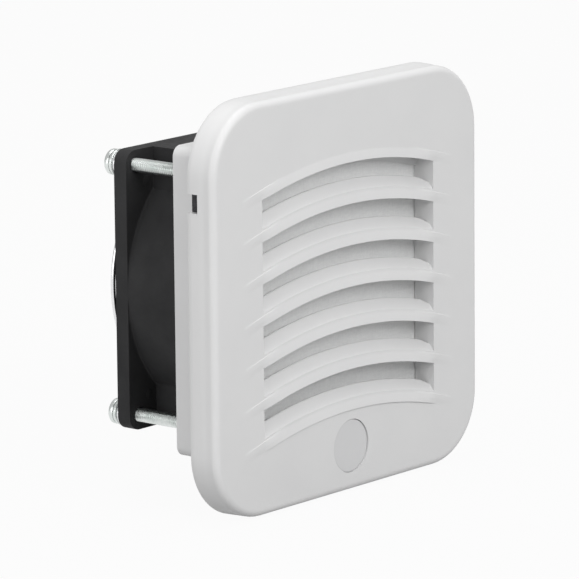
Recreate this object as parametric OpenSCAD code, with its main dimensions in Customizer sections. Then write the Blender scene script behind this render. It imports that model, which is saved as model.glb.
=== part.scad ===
// Filter fan for an enclosure wall: a louvred front cover over a filter mat, a base frame
// that snaps into a square cut-out, and an axial fan screwed to the back of the frame.
// Millimetres. X points right as seen from the front, Y points into the enclosure, Z is up.
// The origin is the centre of the panel plane, on which the base frame's flange rests.

/* [Cover] */
// Depth of the cover in front of the panel
cover_depth = 9.2; // [8.6:0.1:11]
// Radius of the cover's four corners
cover_r = 19.8; // [16:0.1:24]
// Round-over between the cover's face and its skirt
cover_edge_r = 2; // [1:0.1:2.6]
// Wall thickness of the cover
cover_wall = 2; // [1.6:0.1:2.4]
// Height of the notch for a screwdriver in the cover's left side
notch_h = 5.3; // [3:0.1:8]
// How far the notch reaches forward from the panel
notch_depth = 3.5; // [2.8:0.1:4.5]
// Distance from the cover's top edge to the notch's middle
notch_inset = 26.25; // [24:0.25:36]

/* [Louvres] */
// Number of louvre openings
louvre_count = 6; // [3:1:6]
// Plain border beside the openings, from the cover's edge
louvre_border = 20.65; // [19:0.05:26]
// Distance from the cover's top edge to the first opening's crown
louvre_top_border = 22.25; // [21:0.05:25]
// Distance from the cover's bottom edge to the foot of the last lip
louvre_foot_border = 23.63; // [23:0.01:26]
// Radius of the arched edges
arch_r = 142; // [120:1:180]
// Height of the raised lip over each opening
lip_h = 3.4; // [2.6:0.1:3.8]
// How far a lip stands out of the face
lip_rise = 0.6; // [0.3:0.1:0.9]
// Length that a lip runs on past the openings while it fades
lip_tail = 8.9; // [6:0.1:11]
// Height that a blade climbs behind its lip
blade_climb = 3.7; // [3:0.1:4]
// Depth over which it climbs
blade_depth = 4.2; // [3.4:0.1:4.4]
// Thickness of a blade
blade_t = 1.5; // [1.2:0.1:1.8]
// Depth of the walls round the openings
louvre_wall_depth = 6.9; // [5.2:0.1:7.2]
// Thickness of those walls
louvre_wall = 1.5; // [1:0.1:2]
// How far the ledge behind the first arch hangs below its edge
ledge_h = 1.9; // [1.4:0.1:2.6]

/* [Badge] */
// Diameter of the bare disc set into the cover
badge_d = 15.2; // [10:0.1:18]
// Distance from the cover's bottom edge to the disc's middle
badge_inset = 13.15; // [12:0.05:15]
// Thickness of the disc
badge_t = 0.8; // [0.5:0.1:1]
// How far the disc lies below the face
badge_sink = 0.3; // [0:0.1:0.5]

/* [Base frame] */
// Thickness of the flange that rests on the panel
flange_t = 1.8; // [1.6:0.1:2.4]
// Gap between the flange's edge and the cover's skirt
flange_gap = 0.3; // [0.2:0.05:0.6]
// How far the flange reaches past the panel's cut-out
flange_land = 9.95; // [9:0.05:13]
// Gap between the collar and the cut-out that the latches suit
cutout_gap = 2.15; // [1.9:0.05:2.4]
// Gap between the fan and the inside of the collar
fan_room = 1.85; // [1.7:0.05:2.6]
// How far the collar reaches behind the panel
collar_len = 17.6; // [16.4:0.1:20]
// Wall thickness of the collar
collar_wall = 2; // [1.4:0.1:2.2]
// Radius of the collar's corners
collar_r = 3; // [2.4:0.1:5]
// Distance from the panel plane to the plate that the fan seats on
seat_y = 4.9; // [4.6:0.1:5.6]
// Thickness of that plate
seat_t = 1.5; // [1.2:0.1:2]
// Distance from the fan's edge to the air opening in the plate
air_inset = 2.5; // [2:0.1:5]
// Number of rings in the guard moulded across the air opening
grille_rings = 3; // [1:1:4]
// Number of spokes that carry the rings
grille_spokes = 6; // [4:1:8]
// Width of the rings and spokes
grille_bar = 1.6; // [1.2:0.1:2]
// Diameter of the boss round each captive nut
boss_d = 11; // [10.4:0.1:12]

/* [Cover posts] */
// Diameter of the four posts that hold the cover
post_d = 3; // [2.4:0.1:3.6]
// Gap between a post's socket and the cover's skirt
post_clear = 0.6; // [0.4:0.1:2]
// Running gap round a post in its socket
post_gap = 0.1; // [0.08:0.01:0.2]
// Wall of a socket
socket_wall = 1.4; // [1:0.1:1.8]
// Height of a socket above the flange
socket_h = 3.2; // [2.4:0.1:3.6]

/* [Filter mat] */
// Gap between the mat and the inside of the collar
mat_gap = 2.35; // [2.1:0.05:3.5]
// Gap between the mat and the walls round the louvres
mat_play = 0.1; // [0.1:0.1:0.8]

/* [Gasket] */
// Distance from the flange's edge to the foam gasket
gasket_margin = 3.95; // [3:0.05:5]
// Width of its band
gasket_band = 4; // [3:0.1:5]
// Depth of its groove in the flange
gasket_groove = 0.9; // [0.6:0.1:1]
// How far the relaxed gasket stands out of the flange
gasket_proud = 0.4; // [0.2:0.1:0.8]

/* [Latches] */
// Width of each snap-in latch
latch_w = 12; // [9:0.5:14]
// Length of a latch from its bead to its tip
latch_len = 12.6; // [11.6:0.1:13]
// Thickness of a latch
latch_t = 1.4; // [1.2:0.1:1.5]
// Diameter of the bead that the latch turns on
bead_d = 2.2; // [2:0.05:2.3]
// How far a latch's catch reaches past the cut-out's edge
catch_reach = 1.2; // [0.8:0.1:1.4]
// Sideways distance of the latches from the middle
latch_x = 22; // [16:0.5:26]
// Clear gap round a latch
latch_gap = 0.3; // [0.2:0.05:0.5]

/* [Fan housing] */
// Width and height of the fan
fan_w = 80; // [79.6:0.1:80.4]
// Depth of the fan
fan_depth = 38; // [37.6:0.1:38.6]
// How far the fan's axis lies below the cover's centre
fan_drop = 0.5; // [0:0.1:0.8]
// Distance from the fan's edges to the middle of a mounting hole
hole_inset = 4.25; // [4.1:0.05:4.5]
// Diameter of the mounting holes
hole_d = 4.5; // [4.3:0.1:4.8]
// Thickness of the fan's two flanges
fan_flange_t = 4.5; // [3.5:0.1:5]
// Radius of the flanges' corners
fan_corner_r = 4; // [3:0.1:4.2]
// Wall of the fan's duct
duct_wall = 2.2; // [2:0.1:2.4]
// How far the block's seat on the duct stands out of the round wall
duct_seat_gap = 0.9; // [0.5:0.1:1.4]
// Height of the rib across a lower corner of the rear flange
corner_rib_h = 3; // [2:0.1:4]
// Thickness of that rib
corner_rib_t = 2; // [1.5:0.1:2.5]
// Number of struts that carry the motor
strut_count = 4; // [3:1:6]
// Width of a strut
strut_w = 3.5; // [2.5:0.1:4.5]
// Depth of a strut
strut_d = 4; // [3:0.1:4]

/* [Motor] */
// Diameter of the motor's base disc
base_d = 44; // [42:0.5:46]
// Thickness of the base disc
base_t = 2.5; // [2:0.1:3]
// Diameter of the shaft
shaft_d = 4; // [3.5:0.1:4.4]
// Running gap between shaft and sleeve bearings, on the radius
bearing_gap = 0.03; // [0.02:0.01:0.08]
// Outside diameter of the sleeve bearings
sleeve_d = 8; // [7.4:0.1:8.4]
// Length of a sleeve bearing
sleeve_len = 6; // [5:0.1:7]
// Outside diameter of the bearing tube, as a share of the stator core's
tube_share = 0.29; // [0.275:0.005:0.3]
// Distance from the fan's front to the bearing tube
tube_setback = 12; // [11.6:0.1:14]
// Outside diameter of the stator core
core_d = 38; // [36:0.1:38.4]
// Height of the stack of laminations
core_h = 12; // [10:0.1:13]
// Air gap between stator and rotor
air_gap = 0.6; // [0.4:0.05:0.8]
// Wall of the rotor cup
rotor_wall = 2.2; // [1.8:0.1:2.4]
// Gap between the rotor and the motor's base disc
rotor_gap = 2; // [1.5:0.1:2.5]
// Distance from the fan's front to the rotor cup
rotor_setback = 7; // [6.5:0.1:8.5]
// Thickness of the rotor cup's end
rotor_end_t = 1.5; // [1.2:0.1:2]

/* [Impeller] */
// Number of blades
blade_count = 5; // [3:1:7]
// Thickness of a blade
fan_blade_t = 1.6; // [1.2:0.1:2]
// Wall of the hub over the rotor
hub_wall = 1.6; // [1.3:0.1:2]
// Gap between the blade tips and the duct
tip_gap = 0.9; // [0.6:0.1:1.2]
// Angle that a blade wraps round the hub
blade_wrap = 52; // [40:1:60]
// Depth of the duct that the blades leave free, both ends together
blade_setback = 17; // [16:0.5:21]

/* [Finger guard] */
// Diameter of the guard's wire
wire_d = 1.6; // [1.4:0.1:1.8]
// Distance from the fan's edge to the middle of the outer ring's wire
guard_inset = 4; // [3:0.1:6]
// Number of rings
guard_rings = 4; // [2:1:5]
// Distance from one ring to the next
guard_pitch = 8; // [6:0.1:8.5]
// How far the rings stand behind the fan
guard_stand = 4.6; // [4:0.1:6]
// How deep a welded wire sinks into the next
weld_sink = 0.2; // [0.1:0.05:0.4]

/* [Screws] */
// Thread diameter of the four fan screws
screw_d = 4; // [3.8:0.1:4.2]
// How far a screw reaches past the plate that the fan seats on
screw_reach = 3.5; // [3:0.1:4]
// Diameter of a screw's head
head_d = 8; // [7:0.1:8.4]
// Height of a screw's head
head_h = 3.1; // [2.4:0.1:3.3]
// Width of the cross recess in a head
recess_w = 4; // [3:0.1:4.6]
// Outside diameter of a flat washer
washer_d = 9; // [8.4:0.1:9]
// Thickness of a flat washer
washer_t = 0.8; // [0.6:0.1:1]
// Outside diameter of a spring washer
spring_washer_d = 7.6; // [7:0.1:8]
// Thickness of a spring washer
spring_washer_t = 1.1; // [0.8:0.1:1.2]
// Width of a captive nut across its flats
nut_w = 7; // [6.8:0.1:7.2]
// Thickness of a captive nut
nut_t = 3.2; // [2.6:0.1:3.3]
// Material left behind a captive nut
nut_floor = 0.9; // [0.7:0.1:1.2]

/* [Terminals] */
// Length of the terminal block along the fan
block_len = 14; // [12:0.1:20]
// Height of the terminal block
block_h = 4.6; // [4:0.1:4.8]
// How far the block stands off the duct's flat
block_out = 6; // [5:0.1:7]
// Width of a connecting tab
tab_w = 2.8; // [2.2:0.1:3]
// Thickness of a connecting tab
tab_t = 0.5; // [0.4:0.1:0.8]
// Distance between the two tabs
tab_spacing = 8; // [6:0.1:9]

/* [Hidden] */
// Number of facets that a drawn circle asks for
$fn = 96;
// How far every cut runs past the face that it opens
overrun = 1;
// Steps in the curved outline of a lip and of a fan blade
lip_steps = 6;
chord_steps = 8;
span_steps = 4;

// Widths, from the fan outwards: collar, cut-out, flange and cover
collar_inner_w = fan_w + 2 * fan_room;
collar_w = collar_inner_w + 2 * collar_wall;
cutout_w = collar_w + 2 * cutout_gap;
flange_w = cutout_w + 2 * flange_land;
cover_w = flange_w + 2 * flange_gap + 2 * cover_wall;
flange_r = cover_r - cover_wall - flange_gap;
collar_inner_r = collar_r - collar_wall / 2;
gasket_w = flange_w - 2 * gasket_margin;
air_d = fan_w - 2 * air_inset;
ring_step = air_d / 2 / (grille_rings + 1);

// Heights in the cover's own frame, which counts forward from the panel plane
face_z = cover_depth;
inner_face_z = cover_depth - cover_wall;
wall_rear_z = cover_depth - louvre_wall_depth;
notch_z = cover_w / 2 - notch_inset;
badge_drop = cover_w / 2 - badge_inset;
louvre_w = cover_w - 2 * louvre_border;
louvre_top = cover_w / 2 - louvre_top_border;
// Lowest edge of the row of louvres: the foot of the last lip
louvre_bottom = louvre_foot_border - cover_w / 2;
louvre_pitch = (louvre_top - louvre_bottom) / louvre_count;
lip_w = louvre_w + 2 * lip_tail;
// Height that an arched edge loses between its crown and the openings' ends
arch_drop = arch_r - sqrt(arch_r * arch_r - louvre_w * louvre_w / 4);
arch_half_angle = asin(lip_w / 2 / arch_r);
// A blade's upper surface starts a little below the lip's edge
blade_sink = blade_t / 8;
blade_fall = blade_depth - blade_sink;
// Direction of that surface: how far it climbs and goes back for each millimetre
blade_run = sqrt(blade_climb * blade_climb + blade_fall * blade_fall);
blade_up = blade_climb / blade_run;
blade_back = blade_fall / blade_run;

// Posts and sockets stand in the round corners of the skirt
socket_d = post_d + 2 * post_gap;
post_reach = cover_r - cover_wall - socket_d / 2 - socket_wall - post_clear;
post_spacing = cover_w - 2 * cover_r + sqrt(2) * post_reach;

// Latches: the bead's axis in the middle of the thickened collar edge
lug_in = fan_room - fan_drop - latch_gap;
lug_len = bead_d + 2 * latch_gap + collar_wall / 4;
bead_z = collar_w / 2 - (collar_wall + lug_in) / 2;
bead_y = collar_len - lug_len / 2;
// Radial gap round a bead in its socket
bead_gap = latch_gap / 6;
catch_z = cutout_w / 2 + catch_reach - bead_z;

// Fan: planes along Y, from the seat backwards
fan_front = seat_y;
fan_rear = seat_y + fan_depth;
hole_spacing = fan_w - 2 * hole_inset;
hole_at = hole_spacing / 2;
duct_r = fan_w / 2;
bore_r = duct_r - duct_wall;
base_front = fan_rear - base_t;
rotor_open = base_front - rotor_gap;
rotor_front = fan_front + rotor_setback;
rotor_h = rotor_open - rotor_front;
rotor_inner_r = core_d / 2 + air_gap;
rotor_r = rotor_inner_r + rotor_wall;
hub_r = rotor_r + hub_wall;
tip_r = bore_r - tip_gap;
blade_h = fan_depth - blade_setback;
tube_d = core_d * tube_share;
tube_front = fan_front + tube_setback;
tube_len = fan_rear - tube_front;
// The oil cap closes the tube's rear mouth
cap_t = base_t / 3;
core_front = (rotor_front + rotor_end_t + base_front) / 2 - core_h / 2;
// Stator: four poles on a round yoke, each with a shoe that faces the rotor
pole_w = core_d / 4;
shoe_t = core_d / 10;
shoe_inner_r = core_d / 2 - shoe_t;
yoke_r = tube_d / 2 + pole_w / 2;
coil_rise = core_d / 12;
former_t = core_d / 50;
front_sleeve_y = tube_front + collar_wall / 4;
rear_sleeve_y = base_front - sleeve_len;
washer_gap = cap_t / 4;
shaft_front = rotor_front + rotor_end_t / 2;
shaft_rear = fan_rear - cap_t - washer_gap;

// Terminal block: above the lower right screw, on a flat seat beside the round duct
block_drop = hole_at - screw_d / 2 - latch_gap - block_h / 2;
block_top = block_drop - block_h / 2;
duct_flat_w = 2 * (sqrt(duct_r * duct_r - block_top * block_top) + duct_seat_gap);

// Finger guard and screw stack, from the fan's rear face backwards
guard_d = fan_w - 2 * guard_inset;
guard_arm_y = fan_rear + guard_stand - wire_d + weld_sink;
foot_y = fan_rear + wire_d / 2;
loop_r = (hole_d + wire_d) / 2 + latch_gap / 3;
washer_y = fan_rear + wire_d;
spring_y = washer_y + washer_t;
head_y = spring_y + spring_washer_t;
screw_tip = seat_y - screw_reach;
screw_len = head_y - screw_tip;
nut_rear = seat_y - nut_floor;
nut_front = nut_rear - nut_t;
boss_front = nut_front - nut_floor / 2;

// Filter mat: it lies on the grille, hollowed at the back to take the four bosses
mat_w = collar_inner_w - 2 * mat_gap;
mat_rear = seat_y - seat_t;
mat_t = mat_rear + wall_rear_z - mat_play;
mat_notch = mat_w / 2 - hole_at + boss_d / 2 + latch_gap;
mat_notch_t = mat_rear - boss_front + latch_gap;

// Local z points out of the panel, towards the viewer, and local y is up
module from_panel() {
  rotate([90, 0, 0]) children();
}

// Local z points into the enclosure from a plane y, on the fan's axis
module on_fan_axis(y = 0) {
  translate([0, y, -fan_drop]) rotate([-90, 0, 0]) children();
}

// The four corners of a square pattern in the local xy plane
module at_corners(spacing) {
  for (x = [-spacing / 2, spacing / 2])
    for (y = [-spacing / 2, spacing / 2])
      translate([x, y, 0]) children();
}

// Flat square with true round corners
module rounded_square(w, r) {
  square([w, w - 2 * r], center = true);
  square([w - 2 * r, w], center = true);
  at_corners(w - 2 * r) circle(r = r);
}

// Slab on the plane z = 0 with its front edge rounded over
module rounded_slab(w, r, h, e) {
  linear_extrude(height = h - e) rounded_square(w, r);
  linear_extrude(height = h) rounded_square(w - 2 * e, r - e);
  for (turn = [0 : 90 : 270])
    rotate([0, 0, turn]) {
      translate([w / 2 - r, w / 2 - r, h - e])
        rotate_extrude(angle = 90) translate([r - e, 0]) quarter_disc(e);
      translate([w / 2 - e, r - w / 2, h - e])
        rotate([90, 0, 0]) mirror([0, 0, 1])
          linear_extrude(height = w - 2 * r) quarter_disc(e);
    }
}

module quarter_disc(r) {
  intersection() {
    circle(r = r);
    square(r);
  }
}

// Ring between two radii, standing on z = 0
module ring(outer_r, inner_r, h) {
  difference() {
    cylinder(r = outer_r, h = h);
    translate([0, 0, -overrun]) cylinder(r = inner_r, h = h + 2 * overrun);
  }
}

// Flat outline between the crown arch of the first opening and the middle of the last lip
module louvre_window_outline() {
  difference() {
    intersection() {
      translate([-louvre_w / 2, louvre_bottom - arch_drop])
        square([louvre_w, louvre_top - louvre_bottom + arch_drop]);
      translate([0, louvre_top - arch_r]) circle(r = arch_r, $fn = 4 * $fn);
    }
    translate([0, louvre_bottom - arch_r]) circle(r = arch_r + lip_h / 2, $fn = 4 * $fn);
  }
}

// Carries a profile, drawn in radius and height, along the arch of one row
module along_arch(row, half_angle) {
  translate([0, louvre_top - row * louvre_pitch - arch_r, 0])
    rotate([0, 0, 90 - half_angle])
      rotate_extrude(angle = 2 * half_angle, $fn = 4 * $fn) children();
}

// Low rounded band, with a small step at both edges, whose foot is the edge of an opening
module lip_profile() {
  bump = [for (i = [0 : lip_steps])
    [arch_r + lip_h * i / lip_steps, face_z + lip_rise * sin(180 * (i + 1) / (lip_steps + 2))]];
  root = [[arch_r + lip_h, face_z - blade_t], [arch_r, face_z - blade_t]];
  polygon(concat(bump, root));
}

// Sloping blade behind a lip: it climbs as it goes back, so that rain runs out
module blade_profile() {
  crown = [arch_r + lip_h + blade_climb, face_z - blade_depth];
  under = [crown[0] - blade_t * blade_back, crown[1] - blade_t * blade_up];
  // Both surfaces run on into the lip that carries the blade
  top_run = blade_run + blade_sink / 2;
  under_run = (face_z - blade_t / 2 - under[1]) / blade_back;
  polygon([
    crown,
    under,
    [under[0] - blade_up * under_run, under[1] + blade_back * under_run],
    [crown[0] - blade_up * top_run, crown[1] + blade_back * top_run]
  ]);
}

// Roof that lets the lips rise from the face at both ends
module lip_fade() {
  // Width over which the lips have their full height
  full_w = louvre_w - 2 * louvre_wall;
  fade = lip_w - full_w;
  outline = [
    [-lip_w / 2 - fade, face_z - 2 * lip_rise],
    [-full_w / 2 + fade / 2, face_z + 2 * lip_rise],
    [full_w / 2 - fade / 2, face_z + 2 * lip_rise],
    [lip_w / 2 + fade, face_z - 2 * lip_rise],
    [lip_w / 2 + fade, inner_face_z],
    [-lip_w / 2 - fade, inner_face_z]
  ];
  translate([0, 2 * louvre_top, 0]) rotate([90, 0, 0])
    linear_extrude(height = 4 * louvre_top) polygon(outline);
}

module louvre_blades() {
  intersection() {
    for (row = [1 : louvre_count])
      along_arch(row, arch_half_angle) blade_profile();
    translate([-louvre_w / 2 - louvre_wall / 2, -2 * louvre_top, 0])
      cube([louvre_w + louvre_wall, 4 * louvre_top, face_z]);
  }
}

module louvre_lips() {
  intersection() {
    for (row = [0 : louvre_count])
      along_arch(row, arch_half_angle) lip_profile();
    lip_fade();
  }
}

// Walls behind both ends of the openings, and an arched one above and below them
module louvre_walls() {
  wall_top = louvre_top - arch_drop + lip_h;
  wall_h = louvre_wall_depth - cover_wall / 2;
  for (side = [0, 1])
    mirror([side, 0, 0])
      translate([louvre_w / 2, louvre_bottom - arch_drop, wall_rear_z])
        cube([louvre_wall, wall_top - louvre_bottom + arch_drop, wall_h]);
  wall_angle = asin((louvre_w / 2 + louvre_wall / 2) / arch_r);
  along_arch(0, wall_angle) translate([arch_r, wall_rear_z]) square([louvre_wall, wall_h]);
  along_arch(louvre_count, wall_angle)
    translate([arch_r - louvre_wall / 2, wall_rear_z]) square([louvre_wall, wall_h]);
  // Ledge behind the first arch, which holds the top of the mat
  along_arch(0, wall_angle)
    translate([arch_r - ledge_h, wall_rear_z]) square([ledge_h + louvre_wall, louvre_wall / 2]);
}

module cover_posts() {
  post_foot = flange_t + latch_gap;
  translate([0, 0, post_foot])
    at_corners(post_spacing) cylinder(d = post_d, h = face_z - cover_wall / 2 - post_foot);
}

module front_cover() {
  color("gainsboro") from_panel() {
    difference() {
      rounded_slab(cover_w, cover_r, cover_depth, cover_edge_r);
      translate([0, 0, -overrun])
        linear_extrude(height = inner_face_z + overrun)
          rounded_square(cover_w - 2 * cover_wall, cover_r - cover_wall);
      linear_extrude(height = face_z + overrun) louvre_window_outline();
      // Notch for a screwdriver, open towards the panel
      translate([-cover_w / 2 - overrun, notch_z - notch_h / 2, -overrun])
        cube([cover_wall + 2 * overrun, notch_h, notch_depth + overrun]);
      translate([0, -badge_drop, face_z - badge_t - badge_sink])
        cylinder(d = badge_d + latch_gap / 2, h = badge_t + badge_sink + overrun);
    }
    louvre_blades();
    louvre_lips();
    louvre_walls();
    cover_posts();
  }
}

module badge_disc() {
  color("silver") from_panel()
    translate([0, -badge_drop, face_z - badge_t - badge_sink]) cylinder(d = badge_d, h = badge_t);
}

// Places a latch's own frame: z points out of the collar, y into the enclosure
module at_latch(side, top) {
  mirror([0, 0, top ? 0 : 1])
    translate([side * latch_x, bead_y, bead_z]) children();
}

module every_latch() {
  for (side = [-1, 1])
    for (top = [true, false])
      at_latch(side, top) children();
}

// Long plain piece along x, centred, from an outline in y and z
module along_x(length) {
  translate([-length / 2, 0, 0]) rotate([90, 0, 90]) linear_extrude(height = length) children();
}

module snap_latch() {
  tip = -latch_len;
  shoulder = tip + catch_reach;
  // The tongue lies towards the outside of its bead, clear of the fan
  inside = -latch_t / 4;
  outside = inside + latch_t;
  along_x(latch_w) {
    circle(d = bead_d);
    polygon([
      [0, inside],
      [0, outside],
      [-lug_len, outside],
      [shoulder, catch_z],
      [shoulder - catch_reach / 2, catch_z],
      [tip, outside],
      [tip, inside]
    ]);
  }
}

module latch_top_left() {
  color("gainsboro") at_latch(-1, true) snap_latch();
}

module latch_top_right() {
  color("gainsboro") at_latch(1, true) snap_latch();
}

module latch_bottom_left() {
  color("gainsboro") at_latch(-1, false) snap_latch();
}

module latch_bottom_right() {
  color("gainsboro") at_latch(1, false) snap_latch();
}

// Window in the collar for a latch, with the socket for its bead
module latch_window() {
  window_w = latch_w + 2 * latch_gap;
  window_front = -latch_len - 2 * latch_gap;
  window_rear = latch_gap - lug_len / 2;
  window_foot = fan_w / 2 - latch_gap - bead_z;
  translate([-window_w / 2, window_front, window_foot])
    cube([window_w, window_rear - window_front, collar_w / 2 - bead_z - window_foot + overrun]);
  along_x(window_w) {
    circle(d = bead_d + 2 * bead_gap);
    translate([-lug_len, -latch_t / 4 - latch_gap])
      square([lug_len, latch_t + latch_gap + 2 * bead_gap]);
  }
}

// Thick edge of the collar that holds a latch's bead
module latch_lug() {
  lug_w = latch_w + 4 * collar_wall / 2;
  translate([-lug_w / 2, -lug_len / 2, collar_w / 2 - bead_z - collar_wall - lug_in])
    cube([lug_w, lug_len, collar_wall + lug_in - latch_gap]);
}

module grille() {
  for (i = [0 : grille_rings - 1]) {
    ring_r = ring_step * (i + 1) + grille_bar / 2;
    ring(ring_r, ring_r - grille_bar, seat_t);
  }
  cylinder(r = ring_step / 2, h = seat_t);
  for (i = [0 : grille_spokes - 1])
    rotate([0, 0, 360 * (i + 0.5) / grille_spokes])
      translate([0, -grille_bar / 2, 0]) cube([air_d / 2 + grille_bar, grille_bar, seat_t]);
}

module seat_plate() {
  translate([0, 0, -seat_y]) difference() {
    linear_extrude(height = seat_t) square(collar_inner_w + collar_wall, center = true);
    translate([0, -fan_drop, -overrun]) cylinder(d = air_d, h = seat_t + 2 * overrun);
  }
  translate([0, -fan_drop, -seat_y]) grille();
}

module base_frame() {
  color("lightgray") difference() {
    union() {
      from_panel() {
        difference() {
          linear_extrude(height = flange_t) rounded_square(flange_w, flange_r);
          translate([0, 0, -overrun])
            linear_extrude(height = flange_t + 2 * overrun)
              rounded_square(collar_inner_w, collar_inner_r);
        }
        translate([0, 0, -collar_len]) linear_extrude(height = collar_len) difference() {
          rounded_square(collar_w, collar_r);
          rounded_square(collar_inner_w, collar_inner_r);
        }
        at_corners(post_spacing) cylinder(d = socket_d + 2 * socket_wall, h = flange_t + socket_h);
        seat_plate();
        translate([0, -fan_drop, -seat_y])
          at_corners(hole_spacing) cylinder(d = boss_d, h = seat_y - boss_front);
      }
      every_latch() latch_lug();
    }
    from_panel() {
      // Sockets for the cover's posts
      translate([0, 0, flange_t])
        at_corners(post_spacing) cylinder(d = socket_d, h = socket_h + overrun);
      // Groove for the gasket
      translate([0, 0, -overrun]) gasket_band_solid(gasket_groove + overrun);
      // Screw holes and nut pockets
      translate([0, -fan_drop, -seat_y - overrun])
        at_corners(hole_spacing) cylinder(d = hole_d, h = collar_len);
      translate([0, -fan_drop, -nut_rear])
        at_corners(hole_spacing)
          cylinder(d = nut_w / cos(30) + latch_gap, h = nut_t + overrun, $fn = 6);
    }
    every_latch() latch_window();
  }
}

module gasket_band_solid(h) {
  band_r = flange_r - (flange_w - gasket_w) / 2;
  linear_extrude(height = h) difference() {
    rounded_square(gasket_w, band_r);
    rounded_square(gasket_w - 2 * gasket_band, band_r - gasket_band);
  }
}

module panel_gasket() {
  color("dimgray") from_panel()
    translate([0, 0, -gasket_proud]) gasket_band_solid(gasket_groove + gasket_proud);
}

// Plain pad of fleece that lies over the bosses
module filter_mat() {
  color("whitesmoke") from_panel() translate([0, 0, -mat_rear]) difference() {
    linear_extrude(height = mat_t) square(mat_w, center = true);
    translate([0, -fan_drop, -overrun])
      at_corners(mat_w)
        translate([-mat_notch, -mat_notch, 0]) cube([2 * mat_notch, 2 * mat_notch, mat_notch_t + overrun]);
  }
}

module fan_flange() {
  linear_extrude(height = fan_flange_t) rounded_square(fan_w, fan_corner_r);
}

// Block that gives the duct its flat top and bottom
module duct_flats() {
  translate([-duct_flat_w / 2, -fan_w / 2, 0]) cube([duct_flat_w, fan_w, fan_depth]);
}

// Low rib from the duct to a lower corner of the rear flange
module corner_rib() {
  rib_start = duct_r - duct_wall;
  rib_end = hole_spacing / 2 * sqrt(2) - hole_d / 2;
  rotate([0, 0, 45])
    translate([rib_start, (hole_d + corner_rib_t), 0])
      cube([rib_end - rib_start, corner_rib_t, corner_rib_h]);
}

module motor_mount() {
  translate([0, 0, fan_depth - base_t]) cylinder(d = base_d, h = base_t);
  for (i = [0 : strut_count - 1])
    rotate([0, 0, 360 * i / strut_count])
      translate([0, -strut_w / 2, fan_depth - strut_d])
        difference() {
          cube([bore_r + duct_wall / 2, strut_w, strut_d]);
          // The strut rises over the rotor's edge and meets the disc from outside
          translate([-overrun, -overrun, -overrun])
            cube([base_d / 2 - strut_w / 2 + overrun, strut_w + 2 * overrun, strut_d - base_t + overrun]);
        }
}

module fan_housing() {
  color("#26282a") on_fan_axis(fan_front) difference() {
    union() {
      difference() {
        union() {
          fan_flange();
          translate([0, 0, fan_depth - fan_flange_t]) fan_flange();
          cylinder(r = duct_r, h = fan_depth);
          duct_flats();
        }
        translate([0, 0, -overrun]) cylinder(r = bore_r, h = fan_depth + 2 * overrun);
      }
      for (side = [0, 1])
        mirror([side, 0, 0])
          translate([0, 0, fan_depth - fan_flange_t - corner_rib_h]) corner_rib();
      motor_mount();
    }
    translate([0, 0, -overrun])
      at_corners(hole_spacing) cylinder(d = hole_d, h = fan_depth + 2 * overrun);
    translate([0, 0, fan_depth - base_t - overrun]) cylinder(d = tube_d, h = base_t + 2 * overrun);
  }
}

module bearing_tube() {
  color("goldenrod") on_fan_axis(tube_front) ring(tube_d / 2, sleeve_d / 2, tube_len);
}

module sleeve() {
  ring(sleeve_d / 2, shaft_d / 2 + bearing_gap, sleeve_len);
}

module front_sleeve() {
  color("peru") on_fan_axis(front_sleeve_y) sleeve();
}

module rear_sleeve() {
  color("peru") on_fan_axis(rear_sleeve_y) sleeve();
}

module oil_cap() {
  color("black") on_fan_axis(fan_rear - cap_t) cylinder(d = sleeve_d, h = cap_t);
}

// Outline of a four-pole lamination
module lamination() {
  difference() {
    union() {
      circle(r = yoke_r);
      intersection() {
        circle(d = core_d);
        union() {
          square([core_d, pole_w], center = true);
          square([pole_w, core_d], center = true);
          difference() {
            circle(d = core_d);
            circle(r = shoe_inner_r);
            rotate([0, 0, 45]) square([2 * core_d, shoe_t], center = true);
            rotate([0, 0, -45]) square([2 * core_d, shoe_t], center = true);
          }
        }
      }
    }
    circle(d = tube_d);
  }
}

module stator_core() {
  color("slategray") on_fan_axis(core_front) linear_extrude(height = core_h) lamination();
}

// How far out a winding of this thickness may reach before it meets the pole's shoe
function arm_end(grow) = sqrt(pow(shoe_inner_r, 2) - pow(pole_w / 2 + grow, 2));

// Block round one pole's neck, thicker than the neck by grow on every side
module arm_block(start, end, grow) {
  translate([start, -pole_w / 2 - grow, -grow])
    cube([end - start, pole_w + 2 * grow, core_h + 2 * grow]);
}

// Winding of one pole: a sleeve from one thickness to another round the neck
module neck_sleeve(inner, outer) {
  for (turn = [0 : 90 : 270])
    rotate([0, 0, turn]) difference() {
      arm_block(yoke_r, arm_end(outer), outer);
      arm_block(0, core_d, inner);
    }
}

module coil_former() {
  color("ivory") on_fan_axis(core_front) neck_sleeve(0, former_t);
}

module stator_coils() {
  color("chocolate") on_fan_axis(core_front) neck_sleeve(former_t, coil_rise);
}

module rotor_cup() {
  color("darkgray") on_fan_axis(rotor_front) difference() {
    cylinder(r = rotor_r, h = rotor_h);
    translate([0, 0, rotor_end_t]) cylinder(r = rotor_inner_r, h = rotor_h);
    translate([0, 0, rotor_end_t / 2]) cylinder(d = shaft_d, h = rotor_h);
  }
}

module shaft() {
  groove_d = shaft_d - 2 * washer_gap * 2;
  color("silver") on_fan_axis(shaft_front) difference() {
    cylinder(d = shaft_d, h = shaft_rear - shaft_front);
    translate([0, 0, shaft_rear - shaft_front - 4 * washer_gap])
      ring(shaft_d, groove_d / 2, 2 * washer_gap);
  }
}

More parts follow.
